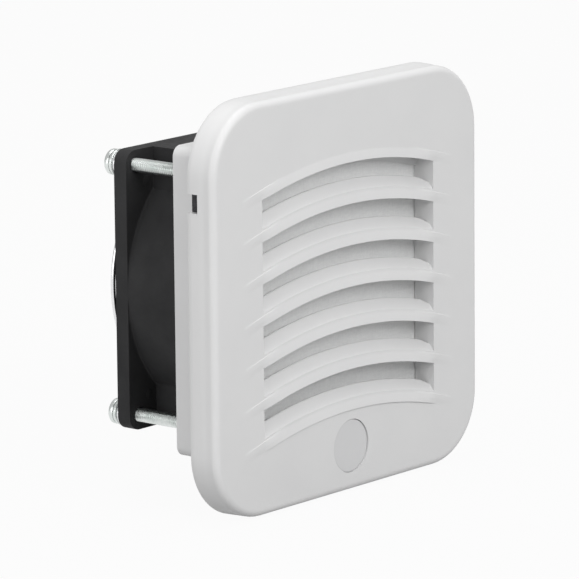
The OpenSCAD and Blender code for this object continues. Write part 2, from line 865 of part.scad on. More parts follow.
// Point on a fan blade: across the span from 0 to 1, along the chord from 0 to 1
function blade_point(span, chord, side) =
  let (
    r = hub_r - hub_wall / 2 + (tip_r - hub_r + hub_wall / 2) * span,
    wrap = blade_wrap * (1 + span / 5),
    // The chord is bowed, and the blade tapers towards both of its edges
    turn = wrap * (chord - 0.5) + blade_wrap / 8 * sin(180 * chord) * (1 - span),
    depth = blade_h * (1 - span / 6) * (chord - 0.5),
    bow = fan_blade_t * sin(180 * chord),
    half = fan_blade_t / 2 * (1 - pow(2 * chord - 1, 2) * 3 / 4)
  )
  [r * cos(turn), r * sin(turn), depth + bow + side * half];

module fan_blade() {
  row = chord_steps + 1;
  sheet = row * (span_steps + 1);
  points = [for (side = [-1, 1]) for (i = [0 : span_steps]) for (j = [0 : chord_steps])
    blade_point(i / span_steps, j / chord_steps, side)];
  skins = [for (i = [0 : span_steps - 1]) for (j = [0 : chord_steps - 1])
    let (a = i * row + j, b = a + row)
    each [[a, b, a + 1], [a + 1, b, b + 1],
      [sheet + a, sheet + a + 1, sheet + b], [sheet + a + 1, sheet + b + 1, sheet + b]]];
  ends = [for (j = [0 : chord_steps - 1])
    let (a = j, b = span_steps * row + j)
    each [[a, a + 1, sheet + a], [a + 1, sheet + a + 1, sheet + a],
      [b, sheet + b, b + 1], [b + 1, sheet + b, sheet + b + 1]]];
  edges = [for (i = [0 : span_steps - 1])
    let (a = i * row, b = i * row + chord_steps)
    each [[a, sheet + a, a + row], [a + row, sheet + a, sheet + a + row],
      [b, b + row, sheet + b], [b + row, sheet + b + row, sheet + b]]];
  polyhedron(points, concat(skins, ends, edges));
}

module impeller() {
  hub_front = rotor_front - hub_wall;
  hub_h = rotor_h + hub_wall;
  color("#1d1f20") on_fan_axis(hub_front) {
    difference() {
      union() {
        translate([0, 0, hub_wall]) cylinder(r = hub_r, h = hub_h - hub_wall);
        cylinder(r = hub_r - hub_wall, h = hub_h);
        translate([0, 0, hub_wall]) rotate_extrude()
          translate([hub_r - hub_wall, 0]) circle(r = hub_wall);
      }
      translate([0, 0, hub_wall]) cylinder(r = rotor_r, h = hub_h);
    }
    for (i = [0 : blade_count - 1])
      translate([0, 0, hub_h / 2]) rotate([0, 0, 360 * i / blade_count]) fan_blade();
  }
}

module thrust_washer() {
  washer_h = front_sleeve_y - tube_front;
  color("ivory") on_fan_axis(front_sleeve_y - washer_h)
    ring(sleeve_d / 2, shaft_d / 2 + bearing_gap, washer_h);
}

module retaining_ring() {
  ring_r = (shaft_d + sleeve_d) / 4 + bearing_gap;
  color("dimgray") on_fan_axis(shaft_rear - 4 * washer_gap)
    ring(ring_r, shaft_d / 2 - 2 * washer_gap, 2 * washer_gap);
}

// Frame of the terminal block: on the flat's right side, above the lower screw
module at_terminals() {
  translate([duct_flat_w / 2, (fan_front + fan_rear) / 2, -block_drop - fan_drop]) children();
}

module terminal_block() {
  wall = tab_w / 4;
  color("#202020") at_terminals() {
    difference() {
      translate([0, -block_len / 2, -block_h / 2]) cube([block_out, block_len, block_h]);
      for (side = [-1, 1])
        translate([block_out - tab_w, side * tab_spacing / 2 - tab_w / 2 - wall, -tab_t / 2 - wall])
          cube([tab_w + overrun, tab_w + 2 * wall, tab_t + 2 * wall]);
      for (side = [-1, 1])
        translate([tab_w / 2, side * tab_spacing / 2 - tab_w / 2, -tab_t / 2])
          cube([block_out, tab_w, tab_t]);
    }
  }
}

module terminal_tabs() {
  tab_end = fan_w / 2 - duct_flat_w / 2 - latch_gap;
  color("gold") at_terminals() for (side = [-1, 1])
    translate([tab_w / 2, side * tab_spacing / 2 - tab_w / 2, -tab_t / 2])
      cube([tab_end - tab_w / 2, tab_w, tab_t]);
}

// Straight wire between two points
module wire(a, b) {
  span = b - a;
  length = norm(span);
  translate(a) rotate([0, acos(span[2] / length), atan2(span[1], span[0])])
    cylinder(d = wire_d, h = length);
}

module finger_guard() {
  arm_z = guard_arm_y - fan_rear;
  foot_z = foot_y - fan_rear;
  foot_r = hole_at * sqrt(2) - loop_r;
  // The arm stays level until it has passed the washer, then rises to the rings
  rise_r = hole_at * sqrt(2) - washer_d / 2 - wire_d / 2 - latch_gap;
  bend_r = rise_r - guard_stand / 2;
  inner_r = guard_d / 2 - (guard_rings - 1) * guard_pitch;
  color("silver") on_fan_axis(fan_rear) {
    for (i = [0 : guard_rings - 1])
      translate([0, 0, guard_stand]) rotate_extrude()
        translate([guard_d / 2 - i * guard_pitch, 0]) circle(d = wire_d, $fn = 24);
    for (turn = [45 : 90 : 315])
      rotate([0, 0, turn]) {
        translate([hole_at * sqrt(2), 0, foot_z]) rotate_extrude()
          translate([loop_r, 0]) circle(d = wire_d, $fn = 24);
        wire([foot_r, 0, foot_z], [rise_r, 0, foot_z]);
        wire([rise_r, 0, foot_z], [bend_r, 0, arm_z]);
        wire([bend_r, 0, arm_z], [inner_r, 0, arm_z]);
        for (bend = [[rise_r, 0, foot_z], [bend_r, 0, arm_z]])
          translate(bend) sphere(d = wire_d + weld_sink / 4);
      }
  }
}

module screw() {
  cylinder(d = screw_d, h = screw_len);
  translate([0, 0, screw_len]) difference() {
    intersection() {
      cylinder(d = head_d, h = head_h);
      translate([0, 0, head_h - head_d]) sphere(r = head_d);
    }
    translate([0, 0, head_h - screw_d / 2]) for (turn = [0, 90])
      rotate([0, 0, turn])
        translate([-recess_w / 2, -recess_w / 8, 0]) cube([recess_w, recess_w / 4, screw_d]);
  }
}

module fan_screws() {
  color("silver") on_fan_axis(screw_tip) at_corners(hole_spacing) screw();
}

module spring_washers() {
  color("gray") on_fan_axis(spring_y) at_corners(hole_spacing) difference() {
    ring(spring_washer_d / 2, screw_d / 2, spring_washer_t);
    // The cut that makes the washer springy
    translate([screw_d / 4, -spring_washer_t / 4, -overrun])
      cube([spring_washer_d, spring_washer_t / 2, spring_washer_t + 2 * overrun]);
  }
}

module flat_washers() {
  color("silver") on_fan_axis(washer_y) at_corners(hole_spacing)
    ring(washer_d / 2, screw_d / 2, washer_t);
}

module captive_nuts() {
  color("silver") on_fan_axis(nut_front) at_corners(hole_spacing) difference() {
    cylinder(d = nut_w / cos(30), h = nut_t, $fn = 6);
    translate([0, 0, -overrun]) cylinder(d = screw_d, h = nut_t + 2 * overrun);
  }
}

front_cover();
badge_disc();
base_frame();
panel_gasket();
filter_mat();
latch_top_left();
latch_top_right();
latch_bottom_left();
latch_bottom_right();
fan_housing();
bearing_tube();
front_sleeve();
rear_sleeve();
oil_cap();
stator_core();
coil_former();
stator_coils();
rotor_cup();
shaft();
impeller();
thrust_washer();
retaining_ring();
terminal_block();
terminal_tabs();
finger_guard();
fan_screws();
spring_washers();
flat_washers();
captive_nuts();
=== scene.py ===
# %% [markdown]
# # Filter fan for an enclosure wall
#
# A louvred plastic cover, a fleece filter mat, a base frame that snaps into a square
# cut-out, and an axial fan with a wire guard at the back. The solids come from the CAD
# frame and set every size. This notebook gives them their finished shapes and surfaces.
#
# The frame is loaded first.

# %% Load the frame
import math

import bmesh
import bpy
import numpy as np
from mathutils import Matrix, Vector
from mathutils.geometry import delaunay_2d_cdt


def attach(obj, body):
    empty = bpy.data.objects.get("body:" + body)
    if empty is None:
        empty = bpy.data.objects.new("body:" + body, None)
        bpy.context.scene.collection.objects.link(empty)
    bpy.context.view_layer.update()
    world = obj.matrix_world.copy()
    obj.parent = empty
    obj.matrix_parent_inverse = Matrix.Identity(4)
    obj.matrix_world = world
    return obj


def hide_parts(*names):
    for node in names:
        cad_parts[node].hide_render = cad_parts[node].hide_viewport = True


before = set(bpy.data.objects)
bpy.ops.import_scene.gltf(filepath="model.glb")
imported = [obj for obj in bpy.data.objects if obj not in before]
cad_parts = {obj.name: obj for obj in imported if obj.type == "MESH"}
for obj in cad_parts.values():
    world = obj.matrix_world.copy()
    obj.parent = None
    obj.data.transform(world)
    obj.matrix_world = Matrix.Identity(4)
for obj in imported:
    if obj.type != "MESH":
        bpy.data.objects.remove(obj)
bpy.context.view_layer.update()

MM = 0.001
# A ring this small, in millimetres, merges into one point and so closes a turned profile
POINT_R = 0.00001

# %% [markdown]
# ## Camera
#
# The photograph was taken from the left and a little above, with a long lens, so the
# cover's edges converge only slightly. The camera's place was worked out from points whose
# real positions are known, such as the cover's corners and the screws. The picture is
# square, so the lens is given for a square frame on a 36 mm sensor.

# %% Camera
AZIMUTH = math.radians(-49.997)
ELEVATION = math.radians(11.615)
ROLL = math.radians(-0.557)
DISTANCE = 1.43843
LOOK_AT = Vector((-0.01542, 0.0, 0.001158))
FOCAL_LENGTH = 321.07


def add_camera():
    """Places the camera on a sphere round LOOK_AT and turns it by ROLL about its own axis."""
    back = Vector((
        math.sin(AZIMUTH) * math.cos(ELEVATION),
        -math.cos(AZIMUTH) * math.cos(ELEVATION),
        math.sin(ELEVATION),
    ))
    right = Vector((math.cos(AZIMUTH), math.sin(AZIMUTH), 0.0))
    up = back.cross(right)
    turned_right = math.cos(ROLL) * right + math.sin(ROLL) * up
    turned_up = -math.sin(ROLL) * right + math.cos(ROLL) * up
    data = bpy.data.cameras.new("camera")
    data.lens = FOCAL_LENGTH
    data.sensor_width = 36.0
    data.clip_end = 20.0
    camera = bpy.data.objects.new("camera", data)
    axes = Matrix((turned_right, turned_up, back)).transposed().to_4x4()
    camera.matrix_world = Matrix.Translation(LOOK_AT + DISTANCE * back) @ axes
    bpy.context.scene.collection.objects.link(camera)
    bpy.context.scene.camera = camera


add_camera()

# %% [markdown]
# ## Meshes from arrays
#
# Every new surface below is a grid of points. One helper gives the quads of such a grid,
# another turns a flat region with holes into triangles, and a third collects the patches of
# one piece, merges the points that they share, and marks the edges that stay sharp.

# %% Helpers for grids and flat regions


def grid_quads(rows, cols, wrap_rows=False, wrap_cols=False):
    """Corner numbers of the quads of a rows x cols grid, numbered row by row."""
    i = np.arange(rows if wrap_rows else rows - 1)[:, None]
    j = np.arange(cols if wrap_cols else cols - 1)[None, :]
    i2, j2 = (i + 1) % rows, (j + 1) % cols
    quads = np.stack([i * cols + j, i2 * cols + j, i2 * cols + j2, i * cols + j2], -1)
    return quads.reshape(-1, 4)


def flat_region(outer, holes):
    """Triangles of a flat region, from its outer loop and its holes, each an array of (u, v)."""
    loops = [np.asarray(outer)] + [np.asarray(h) for h in holes]
    points = np.concatenate(loops)
    edges, start = [], 0
    for loop in loops:
        n = len(loop)
        edges += [(start + k, start + (k + 1) % n) for k in range(n)]
        start += n
    found = delaunay_2d_cdt([Vector(p) for p in points], edges, [], 2, 1e-7)
    out = np.array([tuple(v) for v in found[0]])
    faces = np.array([f for f in found[2] if len(f) == 3])
    middle = out[faces].mean(axis=1)
    keep = inside(middle, loops[0])
    for hole in loops[1:]:
        keep &= ~inside(middle, hole)
    return out, faces[keep]


def inside(points, loop):
    """Whether each point lies in a loop: a ray to the right crosses its edges an odd number of times."""
    a, b = loop, np.roll(loop, -1, axis=0)
    x, y = points[:, :1], points[:, 1:]
    crosses = (a[:, 1] > y) != (b[:, 1] > y)
    with np.errstate(divide="ignore", invalid="ignore"):
        at = a[:, 0] + (y - a[:, 1]) / (b[:, 1] - a[:, 1]) * (b[:, 0] - a[:, 0])
    return (crosses & (x < at)).sum(axis=1) % 2 == 1


class Patches:
    """Collects the patches of one piece, in millimetres."""

    def __init__(self):
        self.points, self.faces, self.marks, self.count = [], [], [], 0

    def add(self, points, faces, mark=0):
        points = np.asarray(points, float).reshape(-1, 3)
        self.faces += [[int(c) + self.count for c in f] for f in faces]
        self.marks += [mark] * len(faces)
        self.points.append(points)
        self.count += len(points)

    def grid(self, points, mark=0, wrap_rows=False, wrap_cols=False):
        rows, cols = points.shape[:2]
        self.add(points, grid_quads(rows, cols, wrap_rows, wrap_cols), mark)

    def ends(self, points, mark):
        """Closes a tube-like grid with one face over its first row and one over its last."""
        for end in (0, -1):
            self.add(points[end], [list(range(points.shape[1]))], mark)

    def piece(self, name, sharp=25.0, weld=2e-7):
        """Merges shared points, points all faces outwards and marks the sharp edges."""
        mesh = bpy.data.meshes.new(name)
        mesh.from_pydata(np.concatenate(self.points) * MM, [], self.faces)
        marks = mesh.attributes.new("patch", "INT", "FACE")
        marks.data.foreach_set("value", np.array(self.marks, np.int32))
        work = bmesh.new()
        work.from_mesh(mesh)
        bmesh.ops.remove_doubles(work, verts=work.verts, dist=weld)
        bmesh.ops.dissolve_degenerate(work, dist=weld, edges=work.edges)
        bmesh.ops.recalc_face_normals(work, faces=work.faces)
        layer = work.faces.layers.int["patch"]
        limit = math.radians(sharp)
        loose = 0
        for edge in work.edges:
            near = edge.link_faces
            if len(near) == 2:
                edge.smooth = (
                    near[0][layer] == near[1][layer] and edge.calc_face_angle(0.0) < limit
                )
            else:
                loose += 1
        for face in work.faces:
            face.smooth = True
        work.to_mesh(mesh)
        work.free()
        mesh.attributes.remove(mesh.attributes["patch"])
        piece = bpy.data.objects.new(name, mesh)
        bpy.context.scene.collection.objects.link(piece)
        print(f"{name}: {len(mesh.polygons)} faces, {loose} open edges")
        return piece


def full_turn(steps):
    """Angles of a whole turn in equal steps, without its end."""
    return np.arange(steps) * 2 * math.pi / steps


def four_corners(x, z):
    """The four places (x, z) of any sign."""
    return [(i * x, j * z) for i in (-1, 1) for j in (-1, 1)]


def round_corners(corners, radii, steps=5):
    """A closed outline whose corners are arcs. Each arc touches both sides at the distance r /
    tan(half the corner's angle) from the corner."""
    corners = [np.asarray(c, float) for c in corners]
    out = []
    for k, corner in enumerate(corners):
        r = radii[k]
        to_last = corners[k - 1] - corner
        to_next = corners[(k + 1) % len(corners)] - corner
        a, b = to_last / np.linalg.norm(to_last), to_next / np.linalg.norm(to_next)
        half = math.acos(np.clip(a @ b, -1, 1)) / 2
        if r <= 0 or half > math.radians(89):
            out.append(corner)
            continue
        reach = r / math.tan(half)
        centre = corner + (a + b) / np.linalg.norm(a + b) * r / math.sin(half)
        start, end = corner + a * reach - centre, corner + b * reach - centre
        turn = math.atan2(start[0] * end[1] - start[1] * end[0], start @ end)
        angle = turn * np.arange(steps + 1) / steps
        out += [centre + np.array([
            start[0] * math.cos(t) - start[1] * math.sin(t),
            start[0] * math.sin(t) + start[1] * math.cos(t),
        ]) for t in angle]
    return np.array(out)


def rounded_loop(half, radius, along, corner_steps=14):
    """Square loop with round corners, counter-clockwise from the right side's foot: along gives
    the points on a side as shares of its straight length."""
    straight = half - radius
    side = np.stack([np.full(len(along), half), np.asarray(along) * straight], -1)
    angle = np.linspace(0, math.pi / 2, corner_steps + 1)[1:-1]
    corner = straight + radius * np.stack([np.cos(angle), np.sin(angle)], -1)
    quarter = np.concatenate([side, corner])
    turns = [quarter]
    for _ in range(3):
        last = turns[-1]
        turns.append(np.stack([-last[:, 1], last[:, 0]], -1))
    return np.concatenate(turns)


def panel_points(uv, height):
    """Points of the panel's plane, u to the right and v up, at a height in front of it."""
    uv = np.asarray(uv, float)
    height = np.broadcast_to(height, uv.shape[:-1])
    return np.stack([uv[..., 0], -height, uv[..., 1]], -1)


# %% [markdown]
# ## Cover: the shared shapes
#
# The cover is one moulding. Seven raised lips follow the same arch, and each opening lies
# between two of them. These numbers repeat the CAD model's sizes, in millimetres, apart from
# the shares that shape a lip's surface. A point of a lip is named by x and by its distance t
# above the lip's foot, and its height above the centre follows from the arch.

# %% The cover's sizes and arches
COVER_HALF = 58.25
COVER_R = 19.8
FACE = 9.2
INNER_FACE = 7.2
WALL = 2.0
ARCH_R = 142.0
LOUVRE_TOP = 36.0
LOUVRE_PITCH = 11.77
LOUVRES = 6
LOUVRE_HALF = 37.6
LIP_H = 3.4
LIP_RISE = 0.6
LIP_HALF = 46.5
FADE_START = 38.0
LIP_CREASE = 0.80
LIP_SHARES = np.array([0, 0.1, 0.2, 0.3, 0.4, 0.5, 0.6, 0.7, LIP_CREASE, LIP_CREASE + 0.05, 1.0])
WALL_REAR = 2.3
LOUVRE_WALL = 1.5
LEDGE_H, LEDGE_FRONT = 1.9, 3.05
POST, POST_FOOT = 48.49, 2.1

window_x = np.linspace(-LOUVRE_HALF, LOUVRE_HALF, 97)
tail_x = np.linspace(LOUVRE_HALF, LIP_HALF, 19)
lip_x = np.concatenate([-tail_x[:0:-1], window_x, tail_x[1:]])


def arch_z(row, x, t):
    """Height of the point t above the foot of a row's lip: arcs round one centre, of radius
    ARCH_R + t."""
    return LOUVRE_TOP - row * LOUVRE_PITCH - ARCH_R + np.sqrt((ARCH_R + t) ** 2 - x**2)


def arch_points(row, x, t):
    """Points (x, z) along a row's arch, at the distance t above its lip's foot."""
    return np.stack([x, arch_z(row, x, t)], -1)


def lip_fade(x):
    """1 along the openings, and falling in a straight line to 0 at both ends of a lip."""
    return np.clip((LIP_HALF - np.abs(x)) / (LIP_HALF - FADE_START), 0, 1)


def lip_height(x, s):
    """Height of a lip's surface. Over the openings it leans out towards its foot, and past them
    it is a low band with a crisp upper edge that runs out into the face."""
    brow = np.clip((LOUVRE_HALF + 0.8 - np.abs(x)) / 3.5, 0, 1)
    band = np.clip((np.abs(x) - 28.0) / 9.0, 0, 1) * lip_fade(x)
    lean = np.clip(1 - s / LIP_CREASE, 0, 1)
    under = np.clip(s / 0.45, 0, 1) * np.clip((LIP_CREASE + 0.05 - s) / 0.05, 0, 1)
    over_window = LIP_RISE * 0.8 * brow * (lean + 0.3 * lean * (1 - lean))
    return FACE + over_window + LIP_RISE * 0.34 * band * under


# %% [markdown]
# ## Cover: the moulding without its louvres
#
# The skirt is a profile carried round a square with round corners. It leans in a little
# towards the front, as moulded parts do, and has a shallow hollow just behind the rounded
# edge, which gives the soft dark line along the left side. The face is flat and is cut into
# triangles round the lips and round the badge's pocket. The lips' ends run out on it.

# %% Skirt, face, window walls and back of the cover
NOTCH_LOW, NOTCH_HIGH, NOTCH_DEPTH = 29.35, 34.65, 3.5
BADGE_Z, BADGE_R, BADGE_FLOOR = -45.1, 7.675, 8.1


def skirt_profile():
    """Points (inset from the outline, height) from the inner face's edge, round the rim, to the
    front face."""
    turn = np.linspace(0, math.pi / 2, 7)
    inner = [(3.2 - 1.2 * math.sin(t), INNER_FACE - 1.2 + 1.2 * math.cos(t)) for t in turn]
    rim_in = [(WALL, NOTCH_DEPTH), (WALL, 0.25), (WALL - 0.07, 0.07), (WALL - 0.25, 0.0)]
    rim_out = [(0.25, 0.0), (0.07, 0.07), (0.0, 0.25)]
    depth = np.array([1.5, 2.5, NOTCH_DEPTH, 4.4, 5.2, 5.9, 6.5, 7.0])
    lean = 0.28 * (depth / 7.2) ** 1.3
    hollow = 0.10 * np.exp(-(((depth - 5.6) / 0.9) ** 2))
    outer = list(zip(lean + hollow, depth))
    start = outer[-1][0]
    round_r = FACE - INNER_FACE
    turn = np.linspace(0, math.pi / 2, 13)
    edge = [(start + round_r * (1 - math.cos(t)), INNER_FACE + round_r * math.sin(t)) for t in turn]
    return np.array(inner + rim_in + rim_out + outer + edge + [(start + 2.6, FACE)])


def cover_loops(profile):
    """One loop of the rounded square for each profile point. The square's corner radius shrinks
    with the inset."""
    straight = COVER_HALF - COVER_R
    along = np.unique(np.concatenate([
        np.linspace(-1, 1, 21), np.array([-NOTCH_HIGH, -NOTCH_LOW, NOTCH_LOW, NOTCH_HIGH]) / straight
    ]))
    return np.stack([
        panel_points(rounded_loop(COVER_HALF - inset, COVER_R - inset, along), height)
        for inset, height in profile
    ])


def add_skirt(patches, profile, loops):
    """The lofted skirt without the faces of the notch, whose three sides are closed afterwards."""
    rows, cols = loops.shape[:2]
    quads = grid_quads(rows, cols, wrap_cols=True)
    flat = loops.reshape(-1, 3)
    middle = flat[quads].mean(axis=1)
    in_notch = (
        (middle[:, 0] < -50) & (middle[:, 2] > NOTCH_LOW) & (middle[:, 2] < NOTCH_HIGH)
        & (-middle[:, 1] < NOTCH_DEPTH) & (-middle[:, 1] >= -0.01)
    )
    patches.add(flat, quads[~in_notch], 0)
    at_depth = np.flatnonzero(np.abs(profile[:, 1] - NOTCH_DEPTH) < 1e-6)
    first, last = at_depth[0], at_depth[-1]
    x, z = loops[last, :, 0], loops[last, :, 2]
    columns = np.flatnonzero((x < -50) & (z > NOTCH_LOW - 1e-4) & (z < NOTCH_HIGH + 1e-4))
    patches.grid(loops[[first, last]][:, columns], 4)
    for column in (columns[0], columns[-1]):
        side = loops[first:last + 1, column]
        patches.add(side, [list(range(len(side)))], 5)


def lips_outline():
    """The loop round all lips and openings in the face: out along each lip's top, back along
    its foot, and down the openings' side to the next lip."""
    s = LIP_SHARES[-2:0:-1]
    right = []
    for row in range(LOUVRES + 1):
        top = lip_x if row == 0 else tail_x
        foot = lip_x[::-1] if row == LOUVRES else tail_x[::-1]
        right.append(arch_points(row, top, LIP_H))
        right.append(np.stack([np.full(len(s), LIP_HALF), arch_z(row, LIP_HALF, LIP_H * s)], -1))
        right.append(arch_points(row, foot, 0.0))
    left = []
    for row in range(LOUVRES, -1, -1):
        if row < LOUVRES:
            left.append(arch_points(row, -tail_x, 0.0))
        left.append(np.stack([np.full(len(s), -LIP_HALF), arch_z(row, LIP_HALF, LIP_H * s[::-1])], -1))
        if row > 0:
            left.append(arch_points(row, -tail_x[::-1], LIP_H))
    return np.concatenate(right + left)


def add_lip(patches, row, x):
    """A lip's raised skin over the points x, with the small steps at its foot and its top."""
    s = LIP_SHARES
    grid_x, grid_s = np.meshgrid(x, s)
    z = arch_z(row, grid_x, LIP_H * grid_s)
    skin = np.stack([grid_x, -lip_height(grid_x, grid_s), z], -1)
    ground = skin.copy()
    ground[..., 1] = -FACE
    patches.grid(skin, 1)
    for edge in (0, -1):
        patches.grid(np.stack([ground[edge], skin[edge]]), 2)


def add_window_walls(patches):
    """Walls behind the openings' edges: the loop at the face, the wall's rear edge, and the
    same loop 1.5 mm further out down to the inner face."""
    s = LIP_SHARES
    out_x = window_x * (LOUVRE_HALF + LOUVRE_WALL) / LOUVRE_HALF
    top = arch_points(0, window_x, 0.0)
    foot = arch_points(LOUVRES, window_x, 0.0)
    rear = np.concatenate([top, foot[::-1]])
    outer = np.concatenate([
        arch_points(0, out_x, LOUVRE_WALL),
        arch_points(LOUVRES, out_x, -LOUVRE_WALL)[::-1],
    ])
    # Top and bottom wall, both from the face
    for edge in (top, foot):
        patches.grid(np.stack([panel_points(edge, FACE), panel_points(edge, WALL_REAR)]), 6)
    # Side walls: flat regions in z and height, whose front edge follows the lips' ends
    front = [(top[0, 1], FACE)]
    for row in range(1, LOUVRES + 1):
        ends = s[::-1]
        front.append((float(arch_z(row, LOUVRE_HALF, LIP_H)), FACE))
        front += list(zip(arch_z(row, LOUVRE_HALF, LIP_H * ends), lip_height(LOUVRE_HALF, ends)))
        front.append((float(arch_z(row, LOUVRE_HALF, 0.0)), FACE))
    outline = np.array(front + [(foot[0, 1], WALL_REAR), (top[0, 1], WALL_REAR)])
    keep = np.ones(len(outline), bool)
    keep[1:] = np.linalg.norm(np.diff(outline, axis=0), axis=1) > 1e-6
    flat, faces = flat_region(outline[keep], [])
    for side in (-1, 1):
        points = np.stack([np.full(len(flat), side * LOUVRE_HALF), -flat[:, 1], flat[:, 0]], -1)
        patches.add(points, faces, 7)
    ring = np.stack([
        panel_points(rear, WALL_REAR), panel_points(outer, WALL_REAR), panel_points(outer, INNER_FACE)
    ])
    patches.grid(ring, 8, wrap_cols=True)
    return outer


def add_ledge(patches):
    """Closed strip along the first arch: four corners (t, height), carried along the openings."""
    corners = [(-LEDGE_H, WALL_REAR), (-LEDGE_H, LEDGE_FRONT), (0.2, LEDGE_FRONT), (0.2, WALL_REAR)]
    rows = [panel_points(arch_points(0, window_x, t), h) for t, h in corners]
    grid = np.stack(rows, axis=1)
    patches.grid(grid, 11, wrap_cols=True)
    patches.ends(grid, 12)


def disc_loop(radius, steps=64):
    """Points of a circle round the badge's place."""
    angle = full_turn(steps)
    return np.stack([radius * np.cos(angle), BADGE_Z + radius * np.sin(angle)], -1)


def add_rod(patches, x, z, radius, low, high, steps=32, mark=9):
    """Closed round post between two heights, with a small chamfer at its free end."""
    angle = full_turn(steps)
    rings = [(POINT_R, high), (radius, high), (radius, low + 0.4), (radius - 0.4, low), (POINT_R, low)]
    circle = np.stack([np.cos(angle), np.sin(angle)], -1)
    grid = np.stack([panel_points(circle * r + (x, z), h) for r, h in rings])
    patches.grid(grid, mark, wrap_cols=True)


def make_cover():
    cover = Patches()
    profile = skirt_profile()
    loops = cover_loops(profile)
    add_skirt(cover, profile, loops)
    badge = disc_loop(BADGE_R)
    face, faces = flat_region(loops[-1][:, [0, 2]], [lips_outline(), badge])
    cover.add(panel_points(face, FACE), faces, 0)
    cover.grid(np.stack([panel_points(badge, FACE), panel_points(badge, BADGE_FLOOR)]), 3, wrap_cols=True)
    cover.add(panel_points(badge, BADGE_FLOOR), [list(range(len(badge)))], 3)
    add_lip(cover, 0, lip_x)
    for row in range(1, LOUVRES + 1):
        add_lip(cover, row, tail_x)
        add_lip(cover, row, -tail_x[::-1])
    outer = add_window_walls(cover)
    back, faces = flat_region(loops[0][:, [0, 2]], [outer])
    cover.add(panel_points(back, INNER_FACE), faces, 10)
    add_ledge(cover)
    for x, z in four_corners(POST, POST):
        add_rod(cover, x, z, 1.5, POST_FOOT, INNER_FACE + 0.5)
    return cover.piece("cover_moulding")


cover_moulding = make_cover()

# %% [markdown]
# ## Cover: the louvres
#
# Behind each lip a blade climbs backwards, so that rain runs out. Lip and blade are one
# closed outline with rounded corners, carried along the arch. Near both ends the blade's
# top swells into a small fillet against the side wall, and its crown is rounded off. The
# blades are a little lower and thicker than the solid's, as they are in the photograph.

# %% Louvre blades
BLADE_T = 1.8
BLADE_CLIMB, BLADE_DEPTH = 3.1, 3.5
FILLET_R = 0.8
END_ROUND, END_DROP = 4.0, 1.7


def louvre_section():
    """Outline (t, height) of lip and blade, and for each point the share by which it lies on
    the lip's bump."""
    up, back = BLADE_CLIMB, -BLADE_DEPTH
    run = math.hypot(up, back)
    crown = np.array([LIP_H + BLADE_CLIMB, FACE - BLADE_DEPTH])
    normal = np.array([back, -up]) / run
    under = crown + BLADE_T * normal
    along = (FACE - BLADE_T - under[1]) / (-back / run)
    root = under - np.array([up, back]) / run * along
    corners = [(LIP_H, FACE), crown, under, root, (0.0, FACE - BLADE_T), (0.0, FACE)]
    return round_corners(corners, [0.0, 0.88, 0.88, 0.7, 0.3, 0.0], 8)


def make_louvres():
    """Each louvre's grid has one row for each x and one column for each outline point."""
    section = louvre_section()
    s = LIP_SHARES
    x = window_x[:, None]
    near_end = np.clip((np.abs(x) - (LOUVRE_HALF - FILLET_R)) / FILLET_R, 0, 1)
    swell = FILLET_R - np.sqrt(FILLET_R**2 - (FILLET_R * near_end) ** 2)
    slope = math.hypot(BLADE_CLIMB, BLADE_DEPTH)
    # Points on the blade's upper side move along its normal in the fillet
    on_top = (section[:, 0] > LIP_H - 1e-6) & (section[:, 1] > FACE - BLADE_DEPTH - 0.25)
    share = np.where(on_top, 1.0, 0.0)
    share[0] = 0.0
    climbed = np.clip((section[:, 0] - LIP_H) / BLADE_CLIMB, 0, 1)
    # Towards both walls the crown sinks back to the lip, which rounds the blade's corners
    past = np.clip((np.abs(x) - (LOUVRE_HALF - END_ROUND)) / END_ROUND, 0, 1)
    drop = END_DROP * (1 - np.sqrt(1 - past**2)) * climbed
    swell = swell * share * (1 - climbed**3)
    t_blade = section[None, :, 0] + (swell * BLADE_DEPTH - drop * BLADE_CLIMB) / slope
    h_blade = section[None, :, 1] + (swell * BLADE_CLIMB + drop * BLADE_DEPTH) / slope
    t_lip = np.broadcast_to(LIP_H * s, (len(window_x), len(s)))
    h_lip = lip_height(x, s[None, :])
    t = np.concatenate([t_blade[:, 1:], t_lip], axis=1)
    h = np.concatenate([h_blade[:, 1:], h_lip], axis=1)
    louvres = Patches()
    for row in range(1, LOUVRES + 1):
        z = arch_z(row, x, t)
        grid = np.stack([np.broadcast_to(x, z.shape), -h, z], -1)
        louvres.grid(grid, 1, wrap_cols=True)
        louvres.ends(grid, 2)
    return louvres.piece("louvres", sharp=35.0)


louvres = make_louvres()

# %% [markdown]
# ## Badge
#
# A round disc lies in a pocket under the last lip. It is left bare: a satin disc with a
# rounded rim, made as a profile turned round its own axis.

# %% Bare badge


def make_badge():
    radii = np.array([POINT_R, 3.0, 6.2, 7.1, 7.3, 7.45, 7.55, 7.6, 7.6, POINT_R])
    heights = np.array([8.93, 8.92, 8.9, 8.88, 8.87, 8.83, 8.76, 8.66, 8.12, 8.12])
    disc = Patches()
    grid = np.stack([panel_points(disc_loop(r), h) for r, h in zip(radii, heights)])
    disc.grid(grid, 0, wrap_cols=True)
    return disc.piece("bare_badge")


bare_badge = make_badge()

# %% [markdown]
# ## Filter mat
#
# The mat is a square of needled polyester fleece, held between the cover and the frame's
# grille. It is a closed pad: a front and a back sheet over the same grid, drawn together
# towards the rim. Broad, low waves and finer lumps keep it from looking like a board.

# %% Fleece mat
FAN_Z = -0.5
MAT_HALF = 39.45
MAT_FRONT, MAT_REAR = 2.06, -3.35
MAT_RIM, LUMP = 1.2, 0.06
BOSS_FRONT, BOSS_EDGE = 0.0, 29.4


